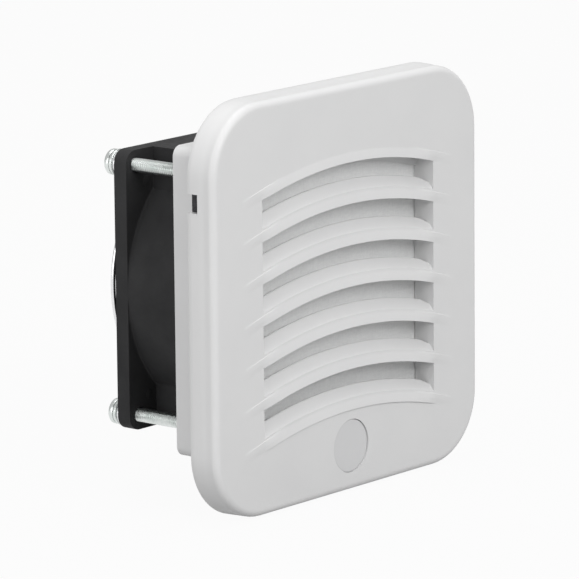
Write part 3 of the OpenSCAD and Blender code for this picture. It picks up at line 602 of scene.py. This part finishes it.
def fleece_lumps(u, v):
    """Sum of a few waves of different lengths and directions, between about -1 and 1."""
    return (
        0.45 * np.sin(0.21 * u + 0.07 * v + 1.3) * np.cos(0.17 * v - 0.05 * u)
        + 0.30 * np.sin(0.83 * u - 0.31 * v) * np.sin(0.71 * v + 0.27 * u + 2.1)
        + 0.25 * np.sin(2.1 * u + 1.3 * v + 0.4) * np.sin(1.7 * v - 1.1 * u)
    )


def make_mat():
    edge = MAT_HALF - MAT_RIM * (1 - np.sin(np.linspace(0, math.pi / 2, 6)))
    inner = np.linspace(-MAT_HALF + MAT_RIM, MAT_HALF - MAT_RIM, 119)[1:-1]
    line = np.unique(np.round(np.concatenate([-edge[::-1], inner, edge]), 6))
    u, v = np.meshgrid(line, line)
    rim = np.minimum(MAT_HALF - np.abs(u), MAT_HALF - np.abs(v))
    crown = np.sqrt(np.clip(1 - (1 - np.clip(rim / MAT_RIM, 0, 1)) ** 2, 0, 1))
    middle = 1.0 - MAT_RIM * (1 - crown)
    front = middle + (MAT_FRONT - 1.0) * crown + LUMP * fleece_lumps(u, v) * crown
    # The nut bosses press the mat's corners flat from behind
    corner = np.clip((np.minimum(np.abs(u), np.abs(v - FAN_Z)) - BOSS_EDGE) / 0.8, 0, 1)
    back = MAT_REAR + (BOSS_FRONT - MAT_REAR) * corner * corner * (3 - 2 * corner)
    back = middle - 0.4 - (middle - 0.4 - back) * crown
    sheets = [panel_points(np.stack([u, v], -1), height) for height in (front, back)]
    n = len(line)
    ring = np.concatenate([
        np.arange(n), n * np.arange(1, n) + n - 1,
        (n - 1) * n + np.arange(n - 2, -1, -1), n * np.arange(n - 2, 0, -1),
    ])
    mat = Patches()
    for sheet in sheets:
        mat.grid(sheet)
    mat.grid(np.stack([sheet.reshape(-1, 3)[ring] for sheet in sheets]), wrap_cols=True)
    return mat.piece("fleece_mat", sharp=60.0)


fleece_mat = make_mat()

# %% [markdown]
# ## Panel gasket, with painted shade at its edge
#
# A band of dark foam lies on the flange's rear face and covers the groove there. It also
# wraps round the flange's edge, where the solid has none, and there it is painted shade: a
# dark band that gives the notch in the cover's side its dark slot. Its outline is carried round the square.

# %% Foam gasket, with painted shade at its edge
GASKET_HALF, GASKET_R = 56.18, 17.7


def make_gasket_with_painted_shade():
    # Points (inset, height): the band at inset 0 to 8.2 lies on the flange's rear face; the thin part at
    # inset 0 to 0.26, up to 1.75 mm further forward, wraps round the flange's edge as painted shade
    corners = [(0, 1.75), (0, -0.2), (8.2, -0.38), (8.2, -0.02), (0.26, -0.02), (0.26, 1.75)]
    outline = round_corners(corners, [0.06, 0.3, 0.15, 0.05, 0.02, 0.06], 5)
    along = np.linspace(-1, 1, 31)
    band = Patches()
    rings = np.stack([
        panel_points(rounded_loop(GASKET_HALF - inset, GASKET_R - inset, along), height)
        for inset, height in outline
    ])
    band.grid(rings, 0, wrap_rows=True, wrap_cols=True)
    return band.piece("gasket_with_painted_shade", sharp=40.0)


gasket_with_painted_shade = make_gasket_with_painted_shade()

# %% [markdown]
# ## Screws
#
# Four long screws with a rolled thread clamp guard, washers and fan. The thread is a
# helix: the radius is a trapezoid wave of the phase y / pitch - angle / 360. The head is a
# low dome with a cross recess pressed into it. Heads and washers are smaller than the
# solids', as they are in the photograph.

# %% Threaded screws
HOLE = 35.75
THREAD_PITCH = 0.7
SCREW_TIP, SCREW_SEAT, SCREW_TOP = 1.4, 45.7, 48.1
CROWN_R, DOME_R, HEAD_R = 3.65, 3.8, 3.7
WASHER_BORE = 2.02
SPRING_R, SPRING_T, SPRING_Y = 3.6, 0.76, 44.87
FLAT_R, FLAT_FRONT, FLAT_REAR = 3.9, 44.31, 44.79


def turned(patches, radius, depth, x, z, mark=0, around=40):
    """A profile of radii and depths along Y, turned round the axis through x and z."""
    angle = full_turn(around)
    radius, depth = np.asarray(radius)[:, None], np.asarray(depth)[:, None]
    grid = np.stack([
        x + radius * np.cos(angle), np.broadcast_to(depth, (len(depth), around)), z + radius * np.sin(angle)
    ], -1)
    patches.grid(grid, mark, wrap_cols=True)


def add_thread(patches, x, z, low, high, core=1.56, crest=1.97, around=24, per_turn=6):
    """Threaded rod: the radius at (angle, depth) follows a trapezoid of the helix's phase, and
    fades to the core at the tip."""
    steps = int((high - low) / THREAD_PITCH * per_turn)
    depth = np.linspace(low, high, steps + 1)[:, None]
    angle = full_turn(around)[None, :]
    phase = (depth / THREAD_PITCH - angle / (2 * math.pi)) % 1.0
    wave = np.clip(1.75 - np.abs(phase - 0.5) * 4.5, 0, 1)
    wave = wave * np.clip((depth - low) / 1.2, 0, 1)
    radius = core + (crest - core) * wave
    grid = np.stack([
        x + radius * np.cos(angle), np.broadcast_to(depth, radius.shape), z + radius * np.sin(angle)
    ], -1)
    patches.grid(grid, 1, wrap_cols=True)
    for end, place_y in ((0, low), (-1, high)):
        middle = np.stack([np.full(around, x), np.full(around, place_y), np.full(around, z)], -1)
        patches.grid(np.stack([middle, grid[end]]), 1, wrap_cols=True)


def add_head(patches, x, z):
    """Dome with a cross recess: the rim is a turned profile, and the crown is a fine polar grid
    pressed down inside the cross."""
    rings, around = 26, 64
    radius = CROWN_R * np.linspace(0.0, 1, rings)[:, None]
    angle = full_turn(around)[None, :]
    dome = SCREW_TOP - 1.5 * (1 - np.sqrt(np.clip(1 - (radius / DOME_R) ** 2, 0, 1))) - 0.02
    u, v = radius * np.cos(angle), radius * np.sin(angle)
    arm_u = np.minimum((0.52 - np.abs(v)) / 0.22, (1.95 - np.abs(u)) / 0.5)
    arm_v = np.minimum((0.52 - np.abs(u)) / 0.22, (1.95 - np.abs(v)) / 0.5)
    cut = np.clip(np.maximum(arm_u, arm_v), 0, 1)
    depth = dome - 1.5 * cut * np.clip(1.15 - radius / 2.6, 0.25, 1)
    grid = np.stack([x + u, depth, z + v], -1)
    patches.grid(grid, 2, wrap_cols=True)
    rim_y = float(dome[-1, 0])
    radii = [CROWN_R, HEAD_R, HEAD_R, HEAD_R - 0.1, POINT_R]
    depths = [rim_y, rim_y - 0.25, SCREW_SEAT + 0.2, SCREW_SEAT, SCREW_SEAT]
    turned(patches, radii, depths, x, z, 2, around)


def make_screws():
    screws = Patches()
    for x, z in four_corners(HOLE, HOLE):
        add_thread(screws, x, z + FAN_Z, SCREW_TIP, SCREW_SEAT + 0.3)
        add_head(screws, x, z + FAN_Z)
    return screws.piece("threaded_screws", sharp=38.0)


threaded_screws = make_screws()

# %% [markdown]
# ## Washers
#
# Under each head lie a spring washer, whose cut ends are bent a little apart, and a flat
# washer with eased edges.

# %% Spring and flat washers


def make_spring_washers():
    section = [(WASHER_BORE, 0.0), (SPRING_R, 0.0), (SPRING_R, SPRING_T), (WASHER_BORE, SPRING_T)]
    outline = round_corners(section, [0.08, 0.15, 0.15, 0.08], 3)
    radius, depth = outline[None, :, 0], outline[None, :, 1]
    angle = np.linspace(math.radians(7), math.radians(353), 61)[:, None]
    lift = 0.13 * (angle - math.pi) / math.pi
    washers = Patches()
    for x, z in four_corners(HOLE, HOLE):
        grid = np.stack([
            x + radius * np.cos(angle), SPRING_Y + depth + lift * 0.5, z + FAN_Z + radius * np.sin(angle)
        ], -1)
        washers.grid(grid, 0, wrap_cols=True)
        washers.ends(grid, 1)
    return washers.piece("split_washers", sharp=40.0)


def make_flat_washers():
    front, rear = FLAT_FRONT, FLAT_REAR
    section = [(WASHER_BORE, front), (FLAT_R, front), (FLAT_R, rear), (WASHER_BORE, rear)]
    outline = round_corners(section, [0.06, 0.2, 0.2, 0.06], 4)
    closed = np.concatenate([outline, outline[:1]])
    washers = Patches()
    for x, z in four_corners(HOLE, HOLE):
        turned(washers, closed[:, 0], closed[:, 1], x, z + FAN_Z, 0, 64)
    return washers.piece("round_washers", sharp=40.0)


split_washers = make_spring_washers()
round_washers = make_flat_washers()

# %% [markdown]
# ## Finger guard
#
# Four rings of bright wire, and four arms that run inwards under them from a loop round each
# screw. Every wire is a circle carried along a path, and an arm's bends are arcs.

# %% Wire guard
WIRE = 0.7
GUARD_RINGS = (12.0, 20.0, 28.0, 36.0)
RING_Y, ARM_Y, FOOT_Y = 47.5, 46.3, 43.6
LOOP_R = 3.05


def tube(patches, path, closed, radius=WIRE, around=14):
    """Circle carried along a path that lies in one plane: at each point it is spanned by the
    path's normal in that plane and the plane's own normal."""
    path = np.asarray(path, float)
    along = np.roll(path, -1, axis=0) - np.roll(path, 1, axis=0)
    if not closed:
        along[0], along[-1] = path[1] - path[0], path[-1] - path[-2]
    along /= np.linalg.norm(along, axis=1)[:, None]
    flat = np.cross(path[1] - path[0], path[len(path) // 2] - path[0])
    flat /= np.linalg.norm(flat)
    side = np.cross(along, flat)
    angle = full_turn(around)
    ring = np.cos(angle)[None, :, None] * side[:, None, :] + np.sin(angle)[None, :, None] * flat
    grid = path[:, None, :] + radius * ring
    patches.grid(grid, 0, wrap_rows=closed, wrap_cols=True)
    if not closed:
        patches.ends(grid, 1)


def circle_path(x, y, z, radius, steps):
    angle = full_turn(steps)
    return np.stack([x + radius * np.cos(angle), np.full(steps, y), z + radius * np.sin(angle)], -1)


def make_guard():
    guard = Patches()
    for radius in GUARD_RINGS:
        tube(guard, circle_path(0.0, RING_Y, FAN_Z, radius, 144), True)
    hole_r = HOLE * math.sqrt(2)
    rise = hole_r - 4.9
    corners = [
        (hole_r - LOOP_R + 0.2, FOOT_Y), (rise, FOOT_Y), (rise - 2.3, ARM_Y), (GUARD_RINGS[0], ARM_Y)
    ]
    bends = round_corners(corners, [0.0, 1.1, 1.1, 0.0], 6)
    for turn in np.radians([45, 135, 225, 315]):
        out = np.array([math.cos(turn), 0.0, math.sin(turn)])
        centre = np.array([0.0, 0.0, FAN_Z])
        tube(guard, [centre + r * out + (0.0, y, 0.0) for r, y in bends], False)
        x, _, z = centre + hole_r * out
        tube(guard, circle_path(x, FOOT_Y, z, LOOP_R, 48), True)
    return guard.piece("wire_guard", sharp=60.0)


wire_guard = make_guard()

# %% [markdown]
# ## Impeller
#
# Five swept blades on a round hub. A blade is a thin sheet over two shares: span, from hub
# to tip, and chord, from the leading to the trailing edge. Its thickness follows an
# aerofoil, so both edges are fine and the middle is thick.

# %% Impeller
HUB_R, HUB_WALL = 23.4, 1.6
TIP_R, TIP_SHARE = 36.85, 0.95
HUB_FRONT, HUB_REAR = 10.3, 38.4
BLADES, BLADE_WRAP, BLADE_LENGTH, BLADE_THICK = 5, 52.0, 21.0, 1.6


def blade_sheet(span, chord, side):
    """A blade's surface. The angle round the hub and the depth both grow along the chord, the
    chord is bowed, and the half thickness falls off towards all free edges."""
    r = HUB_R - HUB_WALL / 2 + (TIP_R - HUB_R + HUB_WALL / 2) * span
    wrap = BLADE_WRAP * (1 + span / 5)
    turn = wrap * (chord - 0.5) + BLADE_WRAP / 8 * np.sin(math.pi * chord) * (1 - span)
    depth = BLADE_LENGTH * (1 - span / 6) * (chord - 0.5)
    bow = BLADE_THICK * np.sin(math.pi * chord)
    half = BLADE_THICK / 2 * np.sqrt(np.clip(1 - (2 * chord - 1) ** 2, 0, 1))
    tip = np.clip((span - TIP_SHARE) / (1 - TIP_SHARE), 0, 1)
    half = half * (0.35 + 0.65 * (1 - chord)) * np.sqrt(np.clip(1 - tip**2, 0, 1))
    angle = np.radians(turn)
    return r * np.cos(angle), r * np.sin(angle), depth + bow + side * half


def make_impeller():
    fan = Patches()
    arc = np.linspace(0, math.pi / 2, 9)
    radius = np.concatenate([
        [POINT_R, 8.0, HUB_R - HUB_WALL], (HUB_R - HUB_WALL + HUB_WALL * np.sin(arc))[1:],
        [HUB_R, HUB_R, HUB_R - 0.15, 21.95, 21.8, 21.8, POINT_R],
    ])
    depth = np.concatenate([
        [HUB_FRONT, HUB_FRONT, HUB_FRONT], (HUB_FRONT + HUB_WALL - HUB_WALL * np.cos(arc))[1:],
        [HUB_REAR - 6, HUB_REAR - 0.15, HUB_REAR, HUB_REAR, HUB_REAR - 0.15],
        [HUB_FRONT + HUB_WALL, HUB_FRONT + HUB_WALL],
    ])
    turned(fan, radius, depth, 0.0, FAN_Z, 0, 144)
    towards_tip = np.sin(np.linspace(0, math.pi / 2, 6)[1:])
    span = np.concatenate([np.linspace(0, TIP_SHARE, 15), TIP_SHARE + (1 - TIP_SHARE) * towards_tip])
    chord = 0.5 - 0.5 * np.cos(np.linspace(0, math.pi, 41))
    c, s = np.meshgrid(chord, span)
    middle = (HUB_FRONT + HUB_REAR) / 2
    for blade in range(BLADES):
        sheets = []
        for side in (-1, 1):
            a, b, d = blade_sheet(s, c, side)
            turn = 2 * math.pi * blade / BLADES
            x = a * math.cos(turn) - b * math.sin(turn)
            v = a * math.sin(turn) + b * math.cos(turn)
            # The solid's own axes: its second axis points down once the axis lies along Y
            sheets.append(np.stack([x, middle + d, FAN_Z - v], -1))
        for grid in (*sheets, np.stack([sheets[0][0], sheets[1][0]])):
            fan.grid(grid, 1)
    return fan.piece("fan_wheel", sharp=50.0)


fan_wheel = make_impeller()

# %% [markdown]
# ## Small forms of the fan's casting
#
# Two forms that the solids lack are added to the black casting: the fillet where the duct
# meets the rear flange, and the low marks that the mould's ejector pins leave.

# %% Duct fillet and ejector marks
DUCT_R, FAN_HALF, REAR_FLANGE = 40.0, 40.0, 38.4


def make_duct_fillet(steps=360, radius=0.6):
    """Concave fillet between duct and rear flange: a quarter arc of radius f, where f shrinks
    to nothing as the flange's edge nears the duct."""
    angle = full_turn(steps)
    room = FAN_HALF / np.maximum(np.abs(np.cos(angle)), np.abs(np.sin(angle))) - DUCT_R
    f = np.clip(room - 0.15, 0.02, radius)[:, None]
    arc = np.linspace(0, math.pi / 2, 7)[None, :]
    none = 0 * f
    r = DUCT_R + np.concatenate([f * (1 - np.sin(arc)), none - 0.4, none - 0.4, f], axis=1)
    y = REAR_FLANGE + np.concatenate([-f * (1 - np.cos(arc)), -f, none + 1.8, none + 1.8], axis=1)
    ring = Patches()
    grid = np.stack([r * np.cos(angle)[:, None], y, FAN_Z + r * np.sin(angle)[:, None]], -1)
    ring.grid(grid, 0, wrap_rows=True, wrap_cols=True)
    return ring.piece("duct_fillet", sharp=50.0)


def make_ejector_marks():
    """Low round marks that the mould's ejector pins leave on the rear flange's front."""
    marks = Patches()
    radii = [POINT_R, 1.3, 1.45, 1.45, POINT_R]
    depths = REAR_FLANGE + np.array([-0.1, -0.1, -0.04, 0.2, 0.2])
    for x, z in four_corners(31.5, 30.6):
        turned(marks, radii, depths, x, z + FAN_Z, 0, 32)
    return marks.piece("ejector_marks", sharp=30.0)


duct_fillet = make_duct_fillet()
ejector_marks = make_ejector_marks()

# %% [markdown]
# ## Solids with eased edges
#
# The other solids already have their shapes, but their edges are perfectly sharp, and no
# moulding or casting is. A copy of each one's mesh is welded and gets a small bevel, which
# catches the light along the edges. The copy then stands for the solid.

# %% Bevelled copies


def eased_copy(node, name, width, angle=35.0, segments=2):
    """Welded copy of a CAD node's mesh with a bevel of the given width, in millimetres."""
    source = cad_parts[node]
    mesh = source.data.copy()
    mesh.name = name
    work = bmesh.new()
    work.from_mesh(mesh)
    bmesh.ops.remove_doubles(work, verts=work.verts, dist=2e-6)
    bmesh.ops.dissolve_limit(work, angle_limit=math.radians(0.5), verts=work.verts, edges=work.edges)
    for edge in work.edges:
        if len(edge.link_faces) == 2:
            edge.smooth = edge.calc_face_angle(0.0) < math.radians(28)
    for face in work.faces:
        face.smooth = True
    work.to_mesh(mesh)
    work.free()
    piece = bpy.data.objects.new(name, mesh)
    bpy.context.scene.collection.objects.link(piece)
    bevel = piece.modifiers.new("eased edges", "BEVEL")
    bevel.width = width * MM
    bevel.segments = segments
    bevel.limit_method = "ANGLE"
    bevel.angle_limit = math.radians(angle)
    bevel.harden_normals = True
    bevel.use_clamp_overlap = True
    bevel.miter_outer = "MITER_ARC"
    return piece


CORNERS = ("top_left", "top_right", "bottom_left", "bottom_right")
EASED = [
    ("base_frame", "moulded_frame", 0.25, "frame", "frame_plastic"),
    ("fan_housing", "cast_housing", 0.35, "frame", "black_metal"),
    *[(f"latch_{c}", f"snap_{c}", 0.15, f"{c}_latch", "frame_plastic") for c in CORNERS],
    ("terminal_block", "connector_block", 0.15, "frame", "black_plastic"),
    ("terminal_tabs", "connector_tabs", 0.08, "frame", "brass"),
    ("captive_nuts", "hex_nuts", 0.2, "frame", "zinc"),
    ("bearing_tube", "bearing_housing", 0.15, "frame", "brass"),
]
eased = {node: eased_copy(node, name, width) for node, name, width, _, _ in EASED}

# %% [markdown]
# ## Surfaces
#
# All finishes are node materials on Object coordinates, which are metres here, so a scale
# of 1000 means features of about a millimetre. Moulded plastic is a pale satin with a very
# fine grain and hardly visible flow marks. Cast housings get a coarser grain, plated steel
# gets brushed streaks and cloudiness, and fleece gets crossing fibres.

# %% Material helper


class Finish:
    """A small helper that adds nodes to a new material and joins them."""

    def __init__(self, name):
        self.material = bpy.data.materials.new(name)
        self.material.use_nodes = True
        self.tree = self.material.node_tree
        self.shader = self.tree.nodes["Principled BSDF"]
        self.coordinates = self.node("ShaderNodeTexCoord").outputs["Object"]

    def node(self, kind, **settings):
        made = self.tree.nodes.new(kind)
        for key, value in settings.items():
            if hasattr(made, key):
                setattr(made, key, value)
            else:
                made.inputs[key.replace("_", " ")].default_value = value
        return made

    def link(self, a, b):
        self.tree.links.new(a, b)

    def stretched(self, scale):
        mapping = self.node("ShaderNodeMapping")
        mapping.inputs["Scale"].default_value = scale
        self.link(self.coordinates, mapping.inputs["Vector"])
        return mapping.outputs["Vector"]

    def noise(self, scale, detail=3.0, roughness=0.55, vector=None):
        noise = self.node("ShaderNodeTexNoise", Scale=scale, Detail=detail, Roughness=roughness)
        self.link(vector or self.coordinates, noise.inputs["Vector"])
        return noise.outputs["Fac"]

    def ramp(self, value, stops):
        ramp = self.node("ShaderNodeValToRGB")
        elements = ramp.color_ramp.elements
        while len(elements) < len(stops):
            elements.new(0.5)
        for element, (place, colour) in zip(elements, stops):
            element.position = place
            element.color = (*colour, 1.0)
        self.link(value, ramp.inputs["Fac"])
        return ramp.outputs["Color"]

    def colour(self, value, stops):
        self.link(self.ramp(value, stops), self.shader.inputs["Base Color"])

    def gloss(self, value, low, high):
        self.link(self.span(value, 0.3, 0.7, low, high), self.shader.inputs["Roughness"])

    def span(self, value, low, high, out_low, out_high):
        spread = self.node("ShaderNodeMapRange")
        names = ("From Min", "From Max", "To Min", "To Max")
        for name, number in zip(names, (low, high, out_low, out_high)):
            spread.inputs[name].default_value = number
        self.link(value, spread.inputs["Value"])
        return spread.outputs["Result"]

    def bump(self, heights):
        """Chains one bump for each (height, strength, distance)."""
        normal = None
        for height, strength, distance in heights:
            bump = self.node("ShaderNodeBump", Strength=strength, Distance=distance)
            self.link(height, bump.inputs["Height"])
            if normal is not None:
                self.link(normal, bump.inputs["Normal"])
            normal = bump.outputs["Normal"]
        self.link(normal, self.shader.inputs["Normal"])

    def set(self, **sockets):
        for key, value in sockets.items():
            self.shader.inputs[key.replace("_", " ")].default_value = value


def moulded_plastic(name, light, dark, rough=(0.42, 0.52), grain=0.05, specular=0.35):
    """Satin moulding: broad colour drift, fine grain in the bump, and uneven gloss."""
    f = Finish(name)
    f.colour(f.noise(45.0, 4.0), [(0.3, dark), (0.7, light)])
    f.gloss(f.noise(260.0, 3.0), *rough)
    f.bump([(f.noise(5200.0, 2.0), grain, 0.00004), (f.noise(160.0, 2.0), 0.04, 0.0002)])
    f.set(Specular_IOR_Level=specular)
    return f.material


def cast_metal(name, light, dark, rough, grain, specular=0.4):
    """Painted or black plastic casting with a visible fine grain."""
    f = Finish(name)
    f.colour(f.noise(90.0, 5.0), [(0.3, dark), (0.7, light)])
    f.gloss(f.noise(600.0, 4.0), *rough)
    f.bump([(f.noise(2600.0, 3.0), grain, 0.00008)])
    f.set(Specular_IOR_Level=specular)
    return f.material


def bare_metal(name, light, dark, rough, stretch=(1.0, 1.0, 1.0), streaks=900.0):
    """Metal with brushed streaks in its gloss and a cloudy colour."""
    f = Finish(name)
    f.colour(f.noise(320.0, 4.0), [(0.3, dark), (0.7, light)])
    lines = f.noise(streaks, 3.0, vector=f.stretched(stretch))
    f.gloss(lines, *rough)
    f.bump([(lines, 0.05, 0.00003)])
    f.set(Metallic=1.0)
    return f.material


def fleece():
    """Needled fleece: two crossing layers of stretched noise for fibres, with lighter tufts."""
    f = Finish("needled_fleece")
    first = f.noise(2600.0, 6.0, 0.7, f.stretched((1.0, 1.0, 0.22)))
    second = f.noise(2600.0, 6.0, 0.7, f.stretched((0.22, 1.0, 1.0)))
    both = f.node("ShaderNodeMath", operation="ADD")
    f.link(first, both.inputs[0])
    f.link(second, both.inputs[1])
    tufts = f.span(both.outputs[0], 0.75, 1.25, 0.0, 1.0)
    f.colour(tufts, [(0.0, (0.76, 0.765, 0.765)), (1.0, (0.84, 0.845, 0.84))])
    f.bump([(tufts, 0.2, 0.0002)])
    f.set(Roughness=0.95, Specular_IOR_Level=0.1, Sheen_Weight=0.3, Sheen_Roughness=0.5)
    return f.material


def foam():
    """Closed-cell foam: small pores from a cell pattern."""
    f = Finish("closed_cell_foam")
    cells = f.node("ShaderNodeTexVoronoi", Scale=2600.0)
    f.link(f.coordinates, cells.inputs["Vector"])
    pores = cells.outputs["Distance"]
    f.colour(pores, [(0.1, (0.022, 0.022, 0.024)), (0.6, (0.06, 0.06, 0.064))])
    f.bump([(pores, 0.5, 0.0002)])
    f.set(Roughness=0.9, Specular_IOR_Level=0.2)
    return f.material


# %% The finishes
cover_plastic = moulded_plastic("cover_plastic", (0.655, 0.655, 0.655), (0.635, 0.635, 0.637))
frame_plastic = moulded_plastic("frame_plastic", (0.72, 0.72, 0.722), (0.69, 0.69, 0.692))
badge_plastic = moulded_plastic("badge_plastic", (0.60, 0.60, 0.605), (0.57, 0.57, 0.575), (0.28, 0.36))
black_casting = cast_metal(
    "black_casting", (0.040, 0.040, 0.041), (0.029, 0.029, 0.030), (0.5, 0.62), 0.3, 0.08
)
black_plastic = cast_metal("black_plastic", (0.020, 0.020, 0.021), (0.013, 0.013, 0.014), (0.35, 0.5), 0.12)
white_plastic = moulded_plastic("white_plastic", (0.74, 0.73, 0.69), (0.68, 0.67, 0.62))
zinc = bare_metal("bright_zinc", (0.82, 0.84, 0.83), (0.68, 0.72, 0.70), (0.26, 0.38))
guard_chrome = bare_metal("guard_chrome", (0.86, 0.86, 0.87), (0.74, 0.74, 0.75), (0.08, 0.16))
brass = bare_metal("plain_brass", (0.80, 0.62, 0.30), (0.66, 0.48, 0.20), (0.25, 0.4))
bronze = bare_metal("sintered_bronze", (0.52, 0.36, 0.19), (0.38, 0.25, 0.12), (0.4, 0.6))
copper = bare_metal(
    "enamelled_copper", (0.74, 0.35, 0.18), (0.55, 0.22, 0.10), (0.25, 0.4), (1.0, 8.0, 1.0)
)
core_steel = bare_metal(
    "electrical_steel", (0.36, 0.37, 0.39), (0.24, 0.25, 0.27), (0.35, 0.55), (0.3, 12.0, 0.3)
)
ground_steel = bare_metal("ground_steel", (0.66, 0.66, 0.67), (0.52, 0.52, 0.53), (0.15, 0.28))
spring_steel = bare_metal("spring_steel", (0.24, 0.24, 0.25), (0.16, 0.16, 0.17), (0.3, 0.45))
mat_fleece = fleece()
# The gasket's dark foam is also painted shade where it wraps round the flange's edge
gasket_foam_and_painted_shade = foam()

# %% [markdown]
# ## Put the finishes on, and say what moves with what
#
# A solid that stays keeps its own mesh and only gets a better material. Each new piece
# rides on the same body as the solid that it stands for.

# %% Materials on the solids that stay
NODE_FINISHES = {
    "front_sleeve": bronze,
    "rear_sleeve": bronze,
    "oil_cap": black_plastic,
    "stator_core": core_steel,
    "coil_former": white_plastic,
    "stator_coils": copper,
    "rotor_cup": core_steel,
    "shaft": ground_steel,
    "thrust_washer": white_plastic,
    "retaining_ring": spring_steel,
}
for node, finish in NODE_FINISHES.items():
    for material_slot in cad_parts[node].material_slots:
        material_slot.material = finish


def place(piece, finish, body, slot, *nodes):
    """Gives a new piece its material and its body, and hides the solids that it stands for. The slot is not
    used.
    """
    piece.data.materials.clear()
    piece.data.materials.append(finish)
    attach(piece, body)
    if nodes:
        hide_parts(*nodes)


place(cover_moulding, cover_plastic, "cover", "cover_plastic", "front_cover")
place(louvres, cover_plastic, "cover", "cover_plastic")
place(bare_badge, badge_plastic, "cover", "badge", "badge_disc")
place(fleece_mat, mat_fleece, "frame", "fleece", "filter_mat")
place(gasket_with_painted_shade, gasket_foam_and_painted_shade, "frame", "foam", "panel_gasket")
place(threaded_screws, zinc, "frame", "zinc", "fan_screws")
place(split_washers, zinc, "frame", "zinc", "spring_washers")
place(round_washers, zinc, "frame", "zinc", "flat_washers")
place(wire_guard, guard_chrome, "frame", "chrome_wire", "finger_guard")
place(fan_wheel, black_plastic, "rotor", "black_plastic", "impeller")
place(duct_fillet, black_casting, "frame", "black_metal")
place(ejector_marks, black_casting, "frame", "black_metal")

SLOT_FINISHES = {
    "frame_plastic": frame_plastic,
    "black_metal": black_casting,
    "black_plastic": black_plastic,
    "brass": brass,
    "zinc": zinc,
}
for node, _, _, body, slot in EASED:
    place(eased[node], SLOT_FINISHES[slot], body, slot, node)

# %% [markdown]
# ## Floor and light
#
# The photograph is a product shot on white. A floor keeps the soft shadow. Camera and mirror
# rays see it almost white, and camera rays see the backdrop white, without any more light
# falling on the object. One large soft lamp stands in front, one on the left lights the skirt,
# and one above lights the top edges. The surroundings fill the shade.

# %% Floor and lamps


def make_floor(z):
    data = bpy.data.meshes.new("floor")
    half = 3.0
    square = [(-half, -half, z), (half, -half, z), (half, half, z), (-half, half, z)]
    data.from_pydata(square, [], [(0, 1, 2, 3)])
    floor = bpy.data.objects.new("floor", data)
    bpy.context.scene.collection.objects.link(floor)
    material = bpy.data.materials.new("white_floor")
    material.use_nodes = True
    nodes, links = material.node_tree.nodes, material.node_tree.links
    shader = nodes["Principled BSDF"]
    shader.inputs["Base Color"].default_value = (0.35, 0.35, 0.35, 1.0)
    shader.inputs["Roughness"].default_value = 0.9
    glow = nodes.new("ShaderNodeEmission")
    glow.inputs["Strength"].default_value = 1.0
    path = nodes.new("ShaderNodeLightPath")
    seen = nodes.new("ShaderNodeMath")
    seen.operation = "MAXIMUM"
    links.new(path.outputs["Is Camera Ray"], seen.inputs[0])
    links.new(path.outputs["Is Glossy Ray"], seen.inputs[1])
    share = nodes.new("ShaderNodeMath")
    share.operation = "MULTIPLY"
    share.inputs[1].default_value = 0.95
    links.new(seen.outputs[0], share.inputs[0])
    mix = nodes.new("ShaderNodeMixShader")
    links.new(share.outputs[0], mix.inputs["Fac"])
    links.new(shader.outputs[0], mix.inputs[1])
    links.new(glow.outputs[0], mix.inputs[2])
    links.new(mix.outputs[0], nodes["Material Output"].inputs["Surface"])
    data.materials.append(material)


def make_world(strength):
    world = bpy.data.worlds.new("surroundings")
    bpy.context.scene.world = world
    world.use_nodes = True
    nodes, links = world.node_tree.nodes, world.node_tree.links
    background = nodes["Background"]
    path = nodes.new("ShaderNodeLightPath")
    seen = nodes.new("ShaderNodeMapRange")
    seen.inputs["To Min"].default_value = strength
    seen.inputs["To Max"].default_value = 1.0
    links.new(path.outputs["Is Camera Ray"], seen.inputs["Value"])
    links.new(seen.outputs["Result"], background.inputs["Strength"])
    background.inputs["Color"].default_value = (1.0, 1.0, 1.0, 1.0)


def add_lamp(name, place, target, size, power):
    data = bpy.data.lights.new(name, "AREA")
    data.shape = "DISK"
    data.size = size
    data.energy = power
    lamp = bpy.data.objects.new(name, data)
    lamp.location = place
    lamp.rotation_euler = (Vector(target) - Vector(place)).to_track_quat("-Z", "Y").to_euler()
    bpy.context.scene.collection.objects.link(lamp)


make_floor(-0.0585)
make_world(0.56)
add_lamp("key", (-0.35, -1.05, 0.7), (0, 0, 0), 0.8, 10.1)
add_lamp("fill", (-1.3, 0.15, 0.25), (0, 0, 0), 0.9, 5.2)
add_lamp("top", (0.1, 0.1, 1.3), (0, 0, 0), 0.9, 6.4)
bpy.context.scene.view_settings.view_transform = "Standard"
